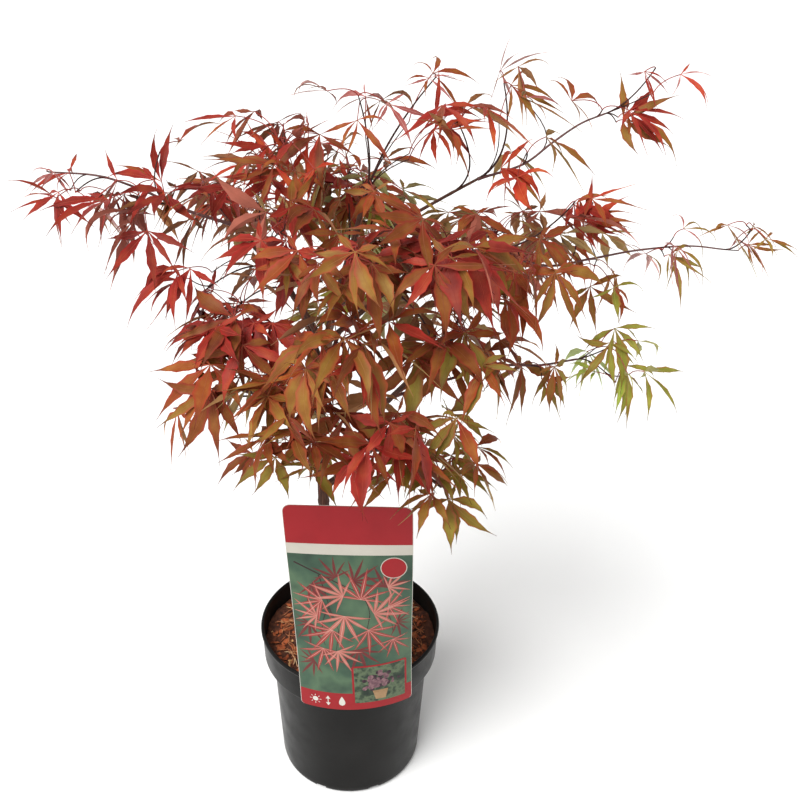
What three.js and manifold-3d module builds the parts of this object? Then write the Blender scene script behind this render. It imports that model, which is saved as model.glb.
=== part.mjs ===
// Potted Japanese maple: a young cutleaf plant in a moulded nursery pot, with a hanging plant label.
// Millimetres, +Z up. The origin is the centre of the pot's flat underside, and -Y faces the viewer.
import * as THREE from 'three';
import { mergeVertices } from 'three/addons/utils/BufferGeometryUtils.js';
import Module from 'manifold-3d';

const wasm = await Module();
wasm.setup();

// ---- driving dimensions -------------------------------------------------------------------------
const GAP = 0.3; // clearance left where one piece rests on or in another

// nursery pot
const RIM_RADIUS = 95;
const POT_HEIGHT = 181;
const COLLAR_TOP_RADIUS = 93.3;
const COLLAR_HEIGHT = 38.5; // from the step up to the rim's top
const COLLAR_STEP = 8.9; // how far the collar stands out from the body
const FOOT_RADIUS = 76.6;
const FOOT_CORNER = 6; // rounded corner between the underside and the wall
const WALL = 1.7;
const FLOOR = 2;
const DRAFT = 1; // how much the collar widens from its foot to the lip
const LIP_HEIGHT = 4;
const LIP_ROUND = 1.2;
const DRAIN_COUNT = 8;
const DRAIN_SIZE = [8, 12, 7]; // notch through the foot's corner: inwards, along the wall, up
const POT_FACETS = 36;

// potting mix
const MIX_BELOW_RIM = 18;
const MIX_SEAT_RADIUS = 34; // flat ground that the trunk stands on
const MIX_EDGE_DROP = 2.5;
const MIX_LUMP = 0.9;

// plant label: a bent plastic card with a tongue hooked over the rim
const LABEL_WIDTH = 116;
const LABEL_HEIGHT = 248;
const LABEL_BOTTOM = 149;
const LABEL_THICKNESS = 0.9;
const LABEL_BACK = 96.6; // distance from the pot's axis to the card's back, where it touches the rim
const LABEL_BEND = 120; // radius of the card's bend at its foot, flatter than the rim
const LABEL_CORNER = 7;
const LABEL_TOP_OFFSET = 3.2; // sideways place of the card's top edge, and of its foot as it leans
const LABEL_FOOT_OFFSET = 12.4;
const TONGUE_WIDTH = 34;
const TONGUE_THICKNESS = 1.2;
const TONGUE_DEPTH = 13; // how far the tongue reaches down inside the rim
const TONGUE_TRIM = 18; // depth, in front of the card, over which the tongue is cut away

// limbs and foliage
const LIMB_SIDES = 6;
const LIMB_STEP = 32; // length of one straight facet of a limb
const BURIED = 12; // length of the trunk's curve below its flat cut
const FLARE_REACH = 14; // height over which the root flare fades
const MASS_AROUND = 10;
const MASS_RINGS = 6;
const SCALLOP = 0.14; // depth of the lobes round a mass, as a part of its radius
const LUMP = 0.2; // height of the uneven bumps on a mass
const MASS_CLEARANCE = 0.6; // growth of a neighbour where it trims a mass

const GROUND = POT_HEIGHT - MIX_BELOW_RIM + GAP;

// ---- foliage masses: where each lies, its half sizes, how many lobes and how far its rim hangs ----
const MASSES = {
  mass_left_tip: { at: [-265, 8, 653], half: [30, 20, 12], lobes: 3, hang: 0.1 },
  mass_left_outer: { at: [-230, -14, 625], half: [36, 40, 29], lobes: 4, hang: 0.5 },
  mass_left_upper: { at: [-162, 22, 669], half: [38, 38, 31], lobes: 4, hang: 0.1 },
  mass_left_mid: { at: [-175, -30, 615], half: [40, 42, 32], lobes: 5, hang: 0.4 },
  mass_left_inner: { at: [-115, 0, 631], half: [42, 54, 34], lobes: 5, hang: 0.2 },
  mass_left_fringe: { at: [-136, -50, 569], half: [33, 38, 38], lobes: 4, hang: 0.5 },
  mass_left_shoulder: { at: [-88, -62, 563], half: [46, 50, 31], lobes: 5, hang: 0.3 },
  mass_left_low: { at: [-100, -95, 513], half: [52, 48, 31], lobes: 5, hang: 0.4 },
  mass_left_low_tip: { at: [-146, -76, 449], half: [28, 32, 44], lobes: 3, hang: 0.4 },
  mass_foot_left: { at: [-86, -20, 399], half: [48, 48, 36], lobes: 5, hang: 0.4 },
  mass_front_left_low: { at: [-35, -128, 505], half: [36, 42, 38], lobes: 4, hang: 0.4 },
  mass_crest_left: { at: [-48, -10, 681], half: [50, 56, 36], lobes: 5, hang: 0.2 },
  mass_front_left: { at: [-45, -86, 638], half: [42, 48, 34], lobes: 4, hang: 0.3 },
  mass_heart_high: { at: [22, -8, 658], half: [42, 56, 34], lobes: 5, hang: 0.2 },
  mass_top_left: { at: [12, 24, 711], half: [38, 42, 26], lobes: 4, hang: 0.2 },
  mass_top_arch: { at: [66, 44, 733], half: [36, 38, 21], lobes: 3, hang: 0.2 },
  mass_top_mid: { at: [75, -18, 707], half: [38, 44, 28], lobes: 4, hang: 0.3 },
  mass_top_right: { at: [132, 50, 719], half: [44, 40, 23], lobes: 4, hang: 0.3 },
  mass_crest_right: { at: [130, 6, 671], half: [38, 46, 32], lobes: 4, hang: 0.3 },
  mass_front_centre: { at: [10, -124, 631], half: [42, 44, 36], lobes: 5, hang: 0.3 },
  mass_front_right: { at: [80, -122, 639], half: [38, 44, 36], lobes: 4, hang: 0.3 },
  mass_right_inner: { at: [142, -58, 623], half: [42, 48, 36], lobes: 5, hang: 0.3 },
  mass_right_crest: { at: [200, -18, 641], half: [38, 42, 34], lobes: 4, hang: 0.4 },
  mass_right_under: { at: [212, 20, 565], half: [42, 44, 34], lobes: 4, hang: 0.4 },
  mass_front_centre_low: { at: [3, -146, 571], half: [38, 43, 34], lobes: 4, hang: 0.4 },
  mass_heart_right: { at: [98, -88, 563], half: [48, 50, 42], lobes: 5, hang: 0.3 },
  mass_front_low: { at: [40, -146, 505], half: [40, 46, 38], lobes: 5, hang: 0.4 },
  mass_front_low_right: { at: [98, -106, 477], half: [38, 42, 38], lobes: 4, hang: 0.5 },
  mass_foot_front: { at: [106, -92, 401], half: [44, 40, 32], lobes: 4, hang: 0.5 },
  mass_far_right: { at: [264, -10, 583], half: [44, 32, 25], lobes: 4, hang: 0.5 },
  mass_far_right_tip: { at: [342, 0, 603], half: [44, 24, 17], lobes: 3, hang: 0.4 },
  mass_green_low: { at: [228, 4, 501], half: [40, 34, 30], lobes: 4, hang: 0.5 },
  mass_green_tip: { at: [272, -4, 465], half: [30, 28, 36], lobes: 3, hang: 0.4 },
  mass_right_low_tip: { at: [178, -46, 477], half: [32, 28, 34], lobes: 3, hang: 0.5 },
  mass_upper_right: { at: [226, 30, 703], half: [48, 34, 26], lobes: 4, hang: 0.4 },
  mass_upper_right_tip: { at: [272, 40, 736], half: [32, 26, 19], lobes: 3, hang: 0.3 },
  mass_back_left: { at: [-100, 92, 585], half: [58, 52, 44], lobes: 5, hang: 0.3 },
  mass_back_high: { at: [-4, 88, 653], half: [58, 48, 38], lobes: 5, hang: 0.3 },
  mass_back_centre: { at: [4, 132, 578], half: [60, 46, 42], lobes: 5, hang: 0.3 },
  mass_back_right: { at: [112, 98, 595], half: [58, 50, 44], lobes: 5, hang: 0.3 },
  mass_back_low: { at: [-2, 86, 501], half: [74, 44, 42], lobes: 5, hang: 0.3 },
};

// ---- limbs: each springs from its parent, or from inside a mass, and ends inside a mass -----------
const TRUNK = {
  through: [
    [-12, 2, 151], [-13, 2, 177], [-18, 1, 238], [-26, 0, 330], [-27, 0, 393],
    [-26, 0, 459], [-16, 5, 533], [2, 5, 598], [14, 0, 645],
  ],
  radii: [7.6, 2.4],
  flare: 5.5, // extra radius of the root flare at the ground
};

const BOUGHS = {
  bough_fork: {
    from: 'trunk',
    through: [[-26, 0, 349], [-7, -3, 370], [6, -7, 398], [14, -15, 431], [38, -42, 475], [80, -78, 543]],
    radii: [3.6, 1.9],
  },
  bough_front_low: {
    from: 'bough_fork',
    through: [[12, -12, 423], [28, -52, 455], [40, -98, 483], [42, -124, 495]],
    radii: [2.3, 1.5],
  },
  bough_foot: {
    from: 'bough_fork',
    through: [[6, -7, 397], [32, -30, 413], [60, -58, 415], [86, -80, 408]],
    radii: [2.1, 1.4],
  },
  shoot_low_right: {
    from: 'bough_fork',
    through: [[40, -44, 478], [84, -56, 502], [135, -48, 514], [166, -40, 511], [206, -10, 503]],
    radii: [2.0, 1.3],
  },
  bough_left_low: {
    from: 'trunk',
    through: [[-27, 0, 431], [-50, -28, 457], [-72, -60, 485], [-86, -82, 503]],
    radii: [2.8, 1.7],
  },
  bough_foot_left: {
    from: 'trunk',
    through: [[-27, 0, 369], [-45, -7, 385], [-64, -13, 395]],
    radii: [2.2, 1.5],
  },
  bough_left: {
    from: 'trunk',
    through: [[-21, 2, 501], [-46, 0, 548], [-72, -2, 588], [-98, 0, 618]],
    radii: [3.2, 2.1],
  },
  shoot_left: {
    through: [[-140, 0, 631], [-171, 4, 644], [-209, 6, 656], [-252, 8, 658]],
    radii: [2.0, 1.1],
  },
  bough_right: {
    from: 'trunk',
    through: [[-13, 5, 543], [22, -6, 573], [62, -24, 599], [94, -40, 613], [120, -50, 620]],
    radii: [3.0, 1.9],
  },
  bough_crest_right: {
    from: 'trunk',
    through: [[0, 5, 591], [42, 12, 619], [80, 12, 643], [108, 8, 661]],
    radii: [2.3, 1.5],
  },
  shoot_upper_right: {
    through: [[146, 8, 675], [168, 14, 691], [192, 22, 706], [212, 28, 713]],
    radii: [1.7, 1.2],
  },
  shoot_far_right: {
    through: [[166, -38, 603], [205, -20, 603], [246, -10, 608], [293, -2, 610], [322, 0, 607]],
    radii: [1.7, 1.0],
  },
  bough_back_left: {
    from: 'trunk',
    through: [[-24, 1, 479], [-45, 30, 523], [-70, 60, 555], [-86, 78, 569]],
    radii: [3.0, 1.9],
  },
  bough_back: {
    from: 'trunk',
    through: [[-26, 0, 449], [-20, 30, 477], [-12, 58, 493], [-6, 72, 498]],
    radii: [2.6, 1.7],
  },
  bough_back_right: {
    from: 'trunk',
    through: [[-21, 3, 507], [16, 28, 533], [56, 56, 559], [86, 78, 579]],
    radii: [2.8, 1.8],
  },
};

// ---- solids -------------------------------------------------------------------------------------
const bare = (geometry) => {
  geometry.deleteAttribute('normal');
  geometry.deleteAttribute('uv');
  return mergeVertices(geometry);
};

const toSolid = (geometry) => new wasm.Manifold(new wasm.Mesh({
  numProp: 3,
  vertProperties: Float32Array.from(geometry.attributes.position.array),
  triVerts: Uint32Array.from(geometry.index.array),
}));

function toGeometry(solid) {
  const { vertProperties, triVerts } = solid.getMesh();
  const geometry = new THREE.BufferGeometry();
  geometry.setAttribute('position', new THREE.BufferAttribute(vertProperties, 3));
  geometry.setIndex(new THREE.BufferAttribute(triVerts, 1));
  return geometry;
}

const largestBody = (solid) => solid.decompose().reduce((a, b) => (a.volume() > b.volume() ? a : b));

function reshape(geometry, move) {
  const position = geometry.attributes.position;
  const point = new THREE.Vector3();
  for (let i = 0; i < position.count; i += 1) {
    move(point.fromBufferAttribute(position, i));
    position.setXYZ(i, point.x, point.y, point.z);
  }
  return geometry;
}

const lathe = (profile) => bare(
  new THREE.LatheGeometry(profile.map(([r, z]) => new THREE.Vector2(r, z)), POT_FACETS)
    .rotateX(Math.PI / 2),
);

// ---- pot ----------------------------------------------------------------------------------------
const STEP_HEIGHT = POT_HEIGHT - COLLAR_HEIGHT;
const COLLAR_FOOT_RADIUS = COLLAR_TOP_RADIUS - DRAFT;
const BODY_TOP_RADIUS = COLLAR_FOOT_RADIUS - COLLAR_STEP;

// Radius of the pot's inner wall at a height, below the collar's step.
function innerRadius(z) {
  const rise = (z - FOOT_CORNER) / (STEP_HEIGHT - FOOT_CORNER);
  return THREE.MathUtils.lerp(FOOT_RADIUS, BODY_TOP_RADIUS, rise) - WALL;
}

// The wall's section, up the outside from the axis and down the inside back to it.
function potSolid() {
  const lipFoot = POT_HEIGHT - LIP_HEIGHT;
  const bore = COLLAR_TOP_RADIUS - WALL;
  const profile = [
    [0, 0], [FOOT_RADIUS - FOOT_CORNER, 0], [FOOT_RADIUS - FLOOR, FLOOR], [FOOT_RADIUS, FOOT_CORNER],
    [BODY_TOP_RADIUS, STEP_HEIGHT], [COLLAR_FOOT_RADIUS, STEP_HEIGHT + WALL],
    [COLLAR_TOP_RADIUS, lipFoot - DRAFT], [RIM_RADIUS, lipFoot],
    [RIM_RADIUS, POT_HEIGHT - LIP_ROUND], [RIM_RADIUS - LIP_ROUND, POT_HEIGHT],
    [bore + LIP_ROUND / 2, POT_HEIGHT], [bore, POT_HEIGHT - LIP_ROUND],
    [COLLAR_FOOT_RADIUS - WALL, STEP_HEIGHT + WALL], [innerRadius(STEP_HEIGHT), STEP_HEIGHT],
    [innerRadius(FOOT_CORNER), FOOT_CORNER], [FOOT_RADIUS - FOOT_CORNER - WALL / 2, FLOOR], [0, FLOOR],
  ];
  let pot = toSolid(lathe(profile));
  for (let i = 0; i < DRAIN_COUNT; i += 1) {
    const turn = ((i + 0.5) * 2 * Math.PI) / DRAIN_COUNT;
    const notch = new THREE.BoxGeometry(...DRAIN_SIZE).translate(FOOT_RADIUS, 0, FLOOR).rotateZ(turn);
    pot = pot.subtract(toSolid(bare(notch)));
  }
  return pot;
}

// ---- potting mix --------------------------------------------------------------------------------
// It fills the pot to its inner wall, with a flat middle, a falling edge and slow lumps between.
function mixSolid() {
  const top = POT_HEIGHT - MIX_BELOW_RIM;
  const edge = COLLAR_FOOT_RADIUS - WALL - GAP;
  const halfway = (edge + MIX_SEAT_RADIUS) / 2;
  const profile = [
    [0, FLOOR + GAP], [FOOT_RADIUS - FOOT_CORNER - WALL - GAP, FLOOR + GAP],
    [innerRadius(FOOT_CORNER) - GAP, FOOT_CORNER + DRAFT],
    [innerRadius(STEP_HEIGHT) - GAP, STEP_HEIGHT + GAP],
    [edge, STEP_HEIGHT + 2 * WALL], [edge, top - MIX_EDGE_DROP],
    [halfway, top - MIX_EDGE_DROP / 3], [MIX_SEAT_RADIUS, top], [0, top],
  ];
  const lumpy = reshape(lathe(profile), (p) => {
    const outsideSeat = Math.hypot(p.x, p.y) > MIX_SEAT_RADIUS + GAP;
    const onTop = p.z > top - MIX_EDGE_DROP - GAP;
    if (onTop && outsideSeat) p.z += MIX_LUMP * Math.sin(p.x * 0.31 + 1) * Math.cos(p.y * 0.27);
  });
  return toSolid(lumpy);
}

// ---- plant label --------------------------------------------------------------------------------
// A slab between two distances from the pot's axis, in the card's outline. It is bent at its foot and
// flat at its top: the bend fades out with height.
function cardSlab(back, front) {
  const size = [LABEL_WIDTH, front - back, LABEL_HEIGHT];
  const facets = [8, 1, 10];
  const slab = bare(new THREE.BoxGeometry(...size, ...facets));
  const half = LABEL_WIDTH / 2;
  return toSolid(reshape(slab, (p) => {
    const up = p.z + LABEL_HEIGHT / 2;
    const intoCorner = Math.max(0, up - (LABEL_HEIGHT - LABEL_CORNER));
    const squeeze = LABEL_CORNER - Math.sqrt(LABEL_CORNER ** 2 - intoCorner ** 2);
    const lean = THREE.MathUtils.lerp(LABEL_FOOT_OFFSET, LABEL_TOP_OFFSET, up / LABEL_HEIGHT);
    const across = (p.x * (half - squeeze)) / half + lean;
    const bend = 1 - THREE.MathUtils.smoothstep(up, POT_HEIGHT - LABEL_BOTTOM + 8, LABEL_HEIGHT);
    const turn = across / LABEL_BEND;
    const x = THREE.MathUtils.lerp(across, LABEL_BEND * Math.sin(turn), bend);
    const fallBack = LABEL_BEND * (1 - Math.cos(turn)) * bend;
    p.set(x, p.y - (back + front) / 2 + fallBack, LABEL_BOTTOM + up);
  }));
}

// The tongue leaves the card just above the rim, runs inwards over it and down inside the pot. What
// would stand out in front of the card is cut away.
function labelTongue() {
  const wallInside = COLLAR_TOP_RADIUS - WALL - 1;
  const farEdge = TONGUE_WIDTH / 2 + LABEL_FOOT_OFFSET;
  const inside = Math.sqrt(wallInside ** 2 - farEdge ** 2);
  const over = POT_HEIGHT + GAP;
  const outline = new THREE.Shape();
  outline.moveTo(-LABEL_BACK - LABEL_THICKNESS, over);
  outline.lineTo(-inside, over);
  outline.lineTo(-inside, over - TONGUE_DEPTH);
  outline.lineTo(-inside + TONGUE_THICKNESS, over - TONGUE_DEPTH);
  outline.lineTo(-inside + TONGUE_THICKNESS, over + TONGUE_THICKNESS);
  outline.lineTo(-LABEL_BACK - LABEL_THICKNESS, over + TONGUE_THICKNESS);
  outline.closePath();
  const strip = new THREE.ExtrudeGeometry(outline, { depth: TONGUE_WIDTH, bevelEnabled: false });
  strip.translate(0, 0, LABEL_FOOT_OFFSET - TONGUE_WIDTH / 2);
  // the outline's (across, up) becomes (y, z) and its depth becomes x
  const place = new THREE.Matrix4().set(0, 0, 1, 0, 1, 0, 0, 0, 0, 1, 0, 0, 0, 0, 0, 1);
  const middle = LABEL_BACK + LABEL_THICKNESS / 2;
  const inFront = cardSlab(middle, middle + TONGUE_TRIM);
  return toSolid(bare(strip.applyMatrix4(place))).subtract(inFront);
}

// ---- limbs --------------------------------------------------------------------------------------
// A closed cylinder carried along a smooth curve, with its radius falling from foot to tip.
function limbSolid({ through, radii, flare = 0 }, grow = 0) {
  const points = through.map((p) => new THREE.Vector3(...p));
  const curve = new THREE.CatmullRomCurve3(points, false, 'centripetal');
  const steps = Math.max(3, Math.round(curve.getLength() / LIMB_STEP));
  const frames = curve.computeFrenetFrames(steps, false);
  const tube = bare(new THREE.CylinderGeometry(1, 1, 1, LIMB_SIDES, steps));
  return toSolid(reshape(tube, (p) => {
    const along = p.y + 0.5;
    const ring = Math.round(along * steps);
    const aboveGround = Math.max(0, along * curve.getLength() - BURIED);
    const root = flare * Math.exp(-aboveGround / FLARE_REACH);
    const radius = THREE.MathUtils.lerp(radii[0], radii[1], along ** 0.8) + root + grow;
    const { x, z } = p;
    p.copy(curve.getPointAt(Math.min(1, Math.max(0, along))));
    p.addScaledVector(frames.normals[ring], x * radius);
    p.addScaledVector(frames.binormals[ring], -z * radius);
  }));
}

// ---- foliage masses -----------------------------------------------------------------------------
// A sphere pressed to its half sizes, scalloped into lobes, made uneven by three slow waves whose
// phases come from its place, and with a rim that hangs below its middle.
function massSolid({ at, half, lobes, hang }, grow = 0) {
  const phase = (at[0] * 0.37 + at[1] * 0.61 + at[2] * 0.23) % (2 * Math.PI);
  const ball = bare(new THREE.SphereGeometry(1, MASS_AROUND, MASS_RINGS).rotateX(Math.PI / 2));
  return toSolid(reshape(ball, (p) => {
    const rim = Math.hypot(p.x, p.y);
    const turn = Math.atan2(p.y, p.x);
    const scallop = 1 + SCALLOP * rim * Math.cos(lobes * turn + phase);
    const level = Math.sin(3.1 * p.x + phase) + Math.sin(2.7 * p.y + 2 * phase);
    const swell = scallop * (1 + (LUMP * (level + Math.sin(3.7 * p.z - phase))) / 3);
    const drop = hang * (rim ** 2 - 0.4);
    p.set(
      at[0] + (half[0] + grow) * p.x * swell,
      at[1] + (half[1] + grow) * p.y * swell,
      at[2] + (half[2] + grow) * p.z * swell * (1 - 0.3 * rim * hang) - half[2] * drop,
    );
  }));
}

// ---- assembly -----------------------------------------------------------------------------------
const finish = (color, roughness) => new THREE.MeshStandardMaterial({ color, roughness, metalness: 0 });
const BLACK_POLYPROPYLENE = () => finish('#2b2a29', 0.45);
const BARK_MIX = () => finish('#3e261b', 0.95);
const PRINTED_CARD = () => finish('#a83236', 0.4);
const BARK = () => finish('#4a3a34', 0.85);
const LEAVES = () => finish('#8e4632', 0.7);

const maple = new THREE.Group();
const container = new THREE.Group();
const limbs = new THREE.Group();
const crown = new THREE.Group();
maple.add(container, limbs, crown);

function addPiece(parent, name, solid, material) {
  const mesh = new THREE.Mesh(toGeometry(solid), material);
  mesh.name = name;
  parent.add(mesh);
}

addPiece(container, 'pot', potSolid(), BLACK_POLYPROPYLENE());
addPiece(container, 'potting_mix', mixSolid(), BARK_MIX());
const card = cardSlab(LABEL_BACK, LABEL_BACK + LABEL_THICKNESS);
addPiece(container, 'plant_label', card.add(labelTongue()), PRINTED_CARD());

// The trunk is cut flat at the ground. Each bough is cut back to 0.3 mm from its parent.
const belowGround = toSolid(bare(new THREE.BoxGeometry(60, 60, 60).translate(0, 0, GROUND - 30)));
const limbShapes = { trunk: TRUNK, ...BOUGHS };
const limbSolids = {};
for (const [name, shape] of Object.entries(limbShapes)) {
  let solid = limbSolid(shape);
  if (name === 'trunk') solid = solid.subtract(belowGround);
  if (shape.from) solid = solid.subtract(limbSolid(limbShapes[shape.from], GAP));
  limbSolids[name] = largestBody(solid);
  addPiece(limbs, name, limbSolids[name], BARK());
}

// Each mass is cut round every limb in it and round the masses before it in the list.
const grownLimbs = Object.values(limbShapes).map((shape) => limbSolid(shape, GAP + 0.1));
const grownMasses = [];
for (const [name, shape] of Object.entries(MASSES)) {
  let solid = massSolid(shape);
  for (const cutter of [...grownLimbs, ...grownMasses]) solid = solid.subtract(cutter);
  addPiece(crown, name, largestBody(solid), LEAVES());
  grownMasses.push(massSolid(shape, MASS_CLEARANCE));
}

export default maple;
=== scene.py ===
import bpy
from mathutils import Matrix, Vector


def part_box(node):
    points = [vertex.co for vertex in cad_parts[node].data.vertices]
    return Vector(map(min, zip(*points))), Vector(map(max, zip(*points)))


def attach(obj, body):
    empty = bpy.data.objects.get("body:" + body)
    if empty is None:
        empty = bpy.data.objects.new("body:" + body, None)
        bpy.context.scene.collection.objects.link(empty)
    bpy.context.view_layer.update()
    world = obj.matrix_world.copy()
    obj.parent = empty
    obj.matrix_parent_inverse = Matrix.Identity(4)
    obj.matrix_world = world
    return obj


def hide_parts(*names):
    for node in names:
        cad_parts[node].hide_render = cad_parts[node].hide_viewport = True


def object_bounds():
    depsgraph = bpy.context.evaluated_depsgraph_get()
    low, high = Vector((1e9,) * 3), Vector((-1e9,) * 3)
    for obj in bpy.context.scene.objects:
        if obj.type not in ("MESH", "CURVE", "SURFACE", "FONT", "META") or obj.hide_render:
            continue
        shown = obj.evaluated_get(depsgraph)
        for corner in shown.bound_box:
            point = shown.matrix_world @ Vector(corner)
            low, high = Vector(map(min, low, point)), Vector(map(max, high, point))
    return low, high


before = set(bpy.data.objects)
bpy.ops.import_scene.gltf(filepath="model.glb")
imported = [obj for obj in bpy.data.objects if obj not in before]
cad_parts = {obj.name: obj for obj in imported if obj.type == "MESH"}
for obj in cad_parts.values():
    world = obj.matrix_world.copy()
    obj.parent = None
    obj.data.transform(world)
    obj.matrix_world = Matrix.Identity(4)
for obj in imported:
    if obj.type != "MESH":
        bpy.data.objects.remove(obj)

from types import SimpleNamespace

import bpy
import numpy as np
from mathutils import Matrix

cad_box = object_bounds()
MM = 0.001


# ---- Nursery pot ---------------------------------------------------------------------------------
# A black injection-moulded polypropylene pot: a tapered wall, a straight collar that stands out above
# it, a rolled lip, and drain notches through the corner of the foot, on which it stands.

def linear(hex_colour):
    """An sRGB hex colour as linear RGBA: c / 12.92 up to 0.04045, ((c + 0.055) / 1.055) ** 2.4 above."""
    c = np.array([int(hex_colour[i:i + 2], 16) for i in (1, 3, 5)]) / 255
    c = np.where(c <= 0.04045, c / 12.92, ((c + 0.055) / 1.055) ** 2.4)
    return (*c.tolist(), 1.0)


def add(tree, kind, inputs=None, **settings):
    """Adds one shader node, makes its settings, and feeds each input a value or another node's output."""
    made = tree.nodes.new("ShaderNode" + kind)
    for name, value in settings.items():
        setattr(made, name, value)
    for name, value in (inputs or {}).items():
        if isinstance(value, bpy.types.NodeSocket):
            tree.links.new(value, made.inputs[name])
        else:
            made.inputs[name].default_value = value
    return made


def spread(tree, value, start, end, low, high):
    """A value that goes from low to high as the one fed in goes from start to end."""
    return add(tree, "MapRange", {"Value": value, 1: start, 2: end, 3: low, 4: high}).outputs["Result"]


def start_material(name, roughness, ior=1.5, specular=0.5, uv_map=None):
    """A new material with one Principled shader, and the place that its patterns follow: the object's own
    metres, or a named map."""
    material = bpy.data.materials.new(name)
    material.use_nodes = True
    tree = material.node_tree
    tree.nodes.clear()
    values = {"Roughness": roughness, "IOR": ior, "Specular IOR Level": specular}
    shader = add(tree, "BsdfPrincipled", values)
    add(tree, "OutputMaterial", {"Surface": shader.outputs["BSDF"]})
    if uv_map:
        where = add(tree, "UVMap", uv_map=uv_map).outputs["UV"]
    else:
        where = add(tree, "TexCoord").outputs["Object"]
    return SimpleNamespace(material=material, tree=tree, shader=shader, where=where)


def grain(made, size, detail, stretch=(1, 1, 1)):
    """Noise of the given patch size in metres over the material's place."""
    placed = add(made.tree, "Mapping", {"Vector": made.where, "Scale": stretch}).outputs[0]
    noise = add(made.tree, "TexNoise", {"Vector": placed, "Scale": 1 / size, "Detail": detail})
    return noise.outputs["Fac"]


def mottle(made, size, colours, detail=3.0, stretch=(1, 1, 1)):
    """Feeds the shader's colour from noise, with the colours spread evenly over its middle two fifths."""
    ramp = add(made.tree, "ValToRGB", {"Fac": grain(made, size, detail, stretch)})
    stops = ramp.color_ramp.elements
    stops[0].position, stops[1].position = 0.3, 0.7
    stops[0].color, stops[1].color = linear(colours[0]), linear(colours[-1])
    for i, colour in enumerate(colours[1:-1], 1):
        stops.new(0.3 + 0.4 * i / (len(colours) - 1)).color = linear(colour)
    made.tree.links.new(ramp.outputs["Color"], made.shader.inputs["Base Color"])
    return ramp.outputs["Color"]


def relief(made, size, depth, detail=2.0, stretch=(1, 1, 1)):
    """Feeds the shader's normal a noise bump of the given grain size and depth in metres."""
    height = grain(made, size, detail, stretch)
    bump = add(made.tree, "Bump", {"Height": height, "Distance": depth, "Strength": 1.0})
    made.tree.links.new(bump.outputs["Normal"], made.shader.inputs["Normal"])


def place_object(name, data):
    """A new object in the scene with the given mesh, light or camera."""
    made = bpy.data.objects.new(name, data)
    bpy.context.scene.collection.objects.link(made)
    return made


def build_piece(name, shape, materials, stands_for=(), kinds=None, uvs=None, sharp=40):
    """Makes a piece from a shape: points (n, 3) and a list of face arrays (rows of 3 or 4 point numbers).
    kinds gives each face's material, uvs each point's or each corner's place, and edges sharper than the
    angle stay sharp."""
    points, faces = shape
    mesh = bpy.data.meshes.new(name)
    corners = np.concatenate([f.ravel() for f in faces]).astype(np.int32)
    sizes = np.concatenate([np.full(len(f), f.shape[1]) for f in faces])
    mesh.vertices.add(len(points))
    mesh.vertices.foreach_set("co", np.asarray(points, np.float32).ravel())
    mesh.loops.add(len(corners))
    mesh.loops.foreach_set("vertex_index", corners)
    mesh.polygons.add(len(sizes))
    mesh.polygons.foreach_set("loop_start", (np.cumsum(sizes) - sizes).astype(np.int32))
    mesh.polygons.foreach_set("use_smooth", np.ones(len(sizes), bool))
    if kinds is not None:
        mesh.polygons.foreach_set("material_index", np.asarray(kinds, np.int32))
    if uvs is not None:
        uvs = uvs[corners] if len(uvs) == len(points) else uvs
        mesh.uv_layers.new(name="along").data.foreach_set("uv", np.asarray(uvs, np.float32).ravel())
    for material in materials:
        mesh.materials.append(material)
    mesh.update(calc_edges=True)
    mesh.set_sharp_from_angle(angle=np.radians(sharp))
    made = place_object(name, mesh)
    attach(made, "root")
    if stands_for:
        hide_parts(*stands_for)
    return made


def tube_mesh(rings):
    """Joins rings (b, k, n, 3), which run anticlockwise seen from the far end of each of b tubes, into
    closed tubes: quads between rings, and a fan at each end to the ring's middle."""
    b, k, n = rings.shape[:3]
    middles = rings[:, (0, -1)].mean(axis=2)
    points = np.concatenate([rings.reshape(b, k * n, 3), middles], axis=1)
    start = (np.arange(b) * (k * n + 2))[:, None, None]
    i = np.arange(k - 1)[None, :, None] * n
    j = np.arange(n)[None, None, :]
    turn = (j + 1) % n
    quads = np.stack([start + i + j, start + i + turn, start + i + n + turn, start + i + n + j], -1)
    first = np.stack([start + k * n + 0 * j, start + turn, start + j], -1)
    last = np.stack([start + k * n + 1 + 0 * j, start + (k - 1) * n + j, start + (k - 1) * n + turn], -1)
    return points.reshape(-1, 3), [quads.reshape(-1, 4), first.reshape(-1, 3), last.reshape(-1, 3)]


def join_meshes(parts):
    """Joins (points, faces) pairs into one, moving each part's point numbers past the parts before it."""
    offsets = np.cumsum([0] + [len(points) for points, _ in parts])
    quads = [f + o for (_, faces), o in zip(parts, offsets) for f in faces if f.shape[1] == 4]
    tris = [f + o for (_, faces), o in zip(parts, offsets) for f in faces if f.shape[1] == 3]
    faces = [np.concatenate(group) for group in (quads, tris) if group]
    return np.concatenate([points for points, _ in parts]), faces


def unit(v):
    """Directions of length one along the last axis."""
    return v / np.maximum(np.linalg.norm(v, axis=-1, keepdims=True), 1e-9)


def parabola(start, corner, end, steps):
    """A quadratic Bezier curve: (1 - t) ** 2 start + 2 t (1 - t) corner + t ** 2 end, t from 0 to 1."""
    t = np.linspace(0, 1, steps)[:, None]
    return (1 - t) ** 2 * start + 2 * t * (1 - t) * corner + t ** 2 * end


def soften(profile, radii, steps=4):
    """Rounds a polyline's corners: each becomes a parabola between points its radius away on both sides."""
    rounded = [np.array(profile[0])]
    for before, corner, after, radius in zip(profile, profile[1:], profile[2:], radii):
        corner = np.array(corner)
        ways = np.array([before, after]) - corner
        reach = np.minimum(radius, 0.45 * np.linalg.norm(ways, axis=1))[:, None]
        a, b = corner + unit(ways) * reach
        rounded.extend(parabola(a, corner, b, steps))
    rounded.append(np.array(profile[-1]))
    return np.array(rounded)


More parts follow.
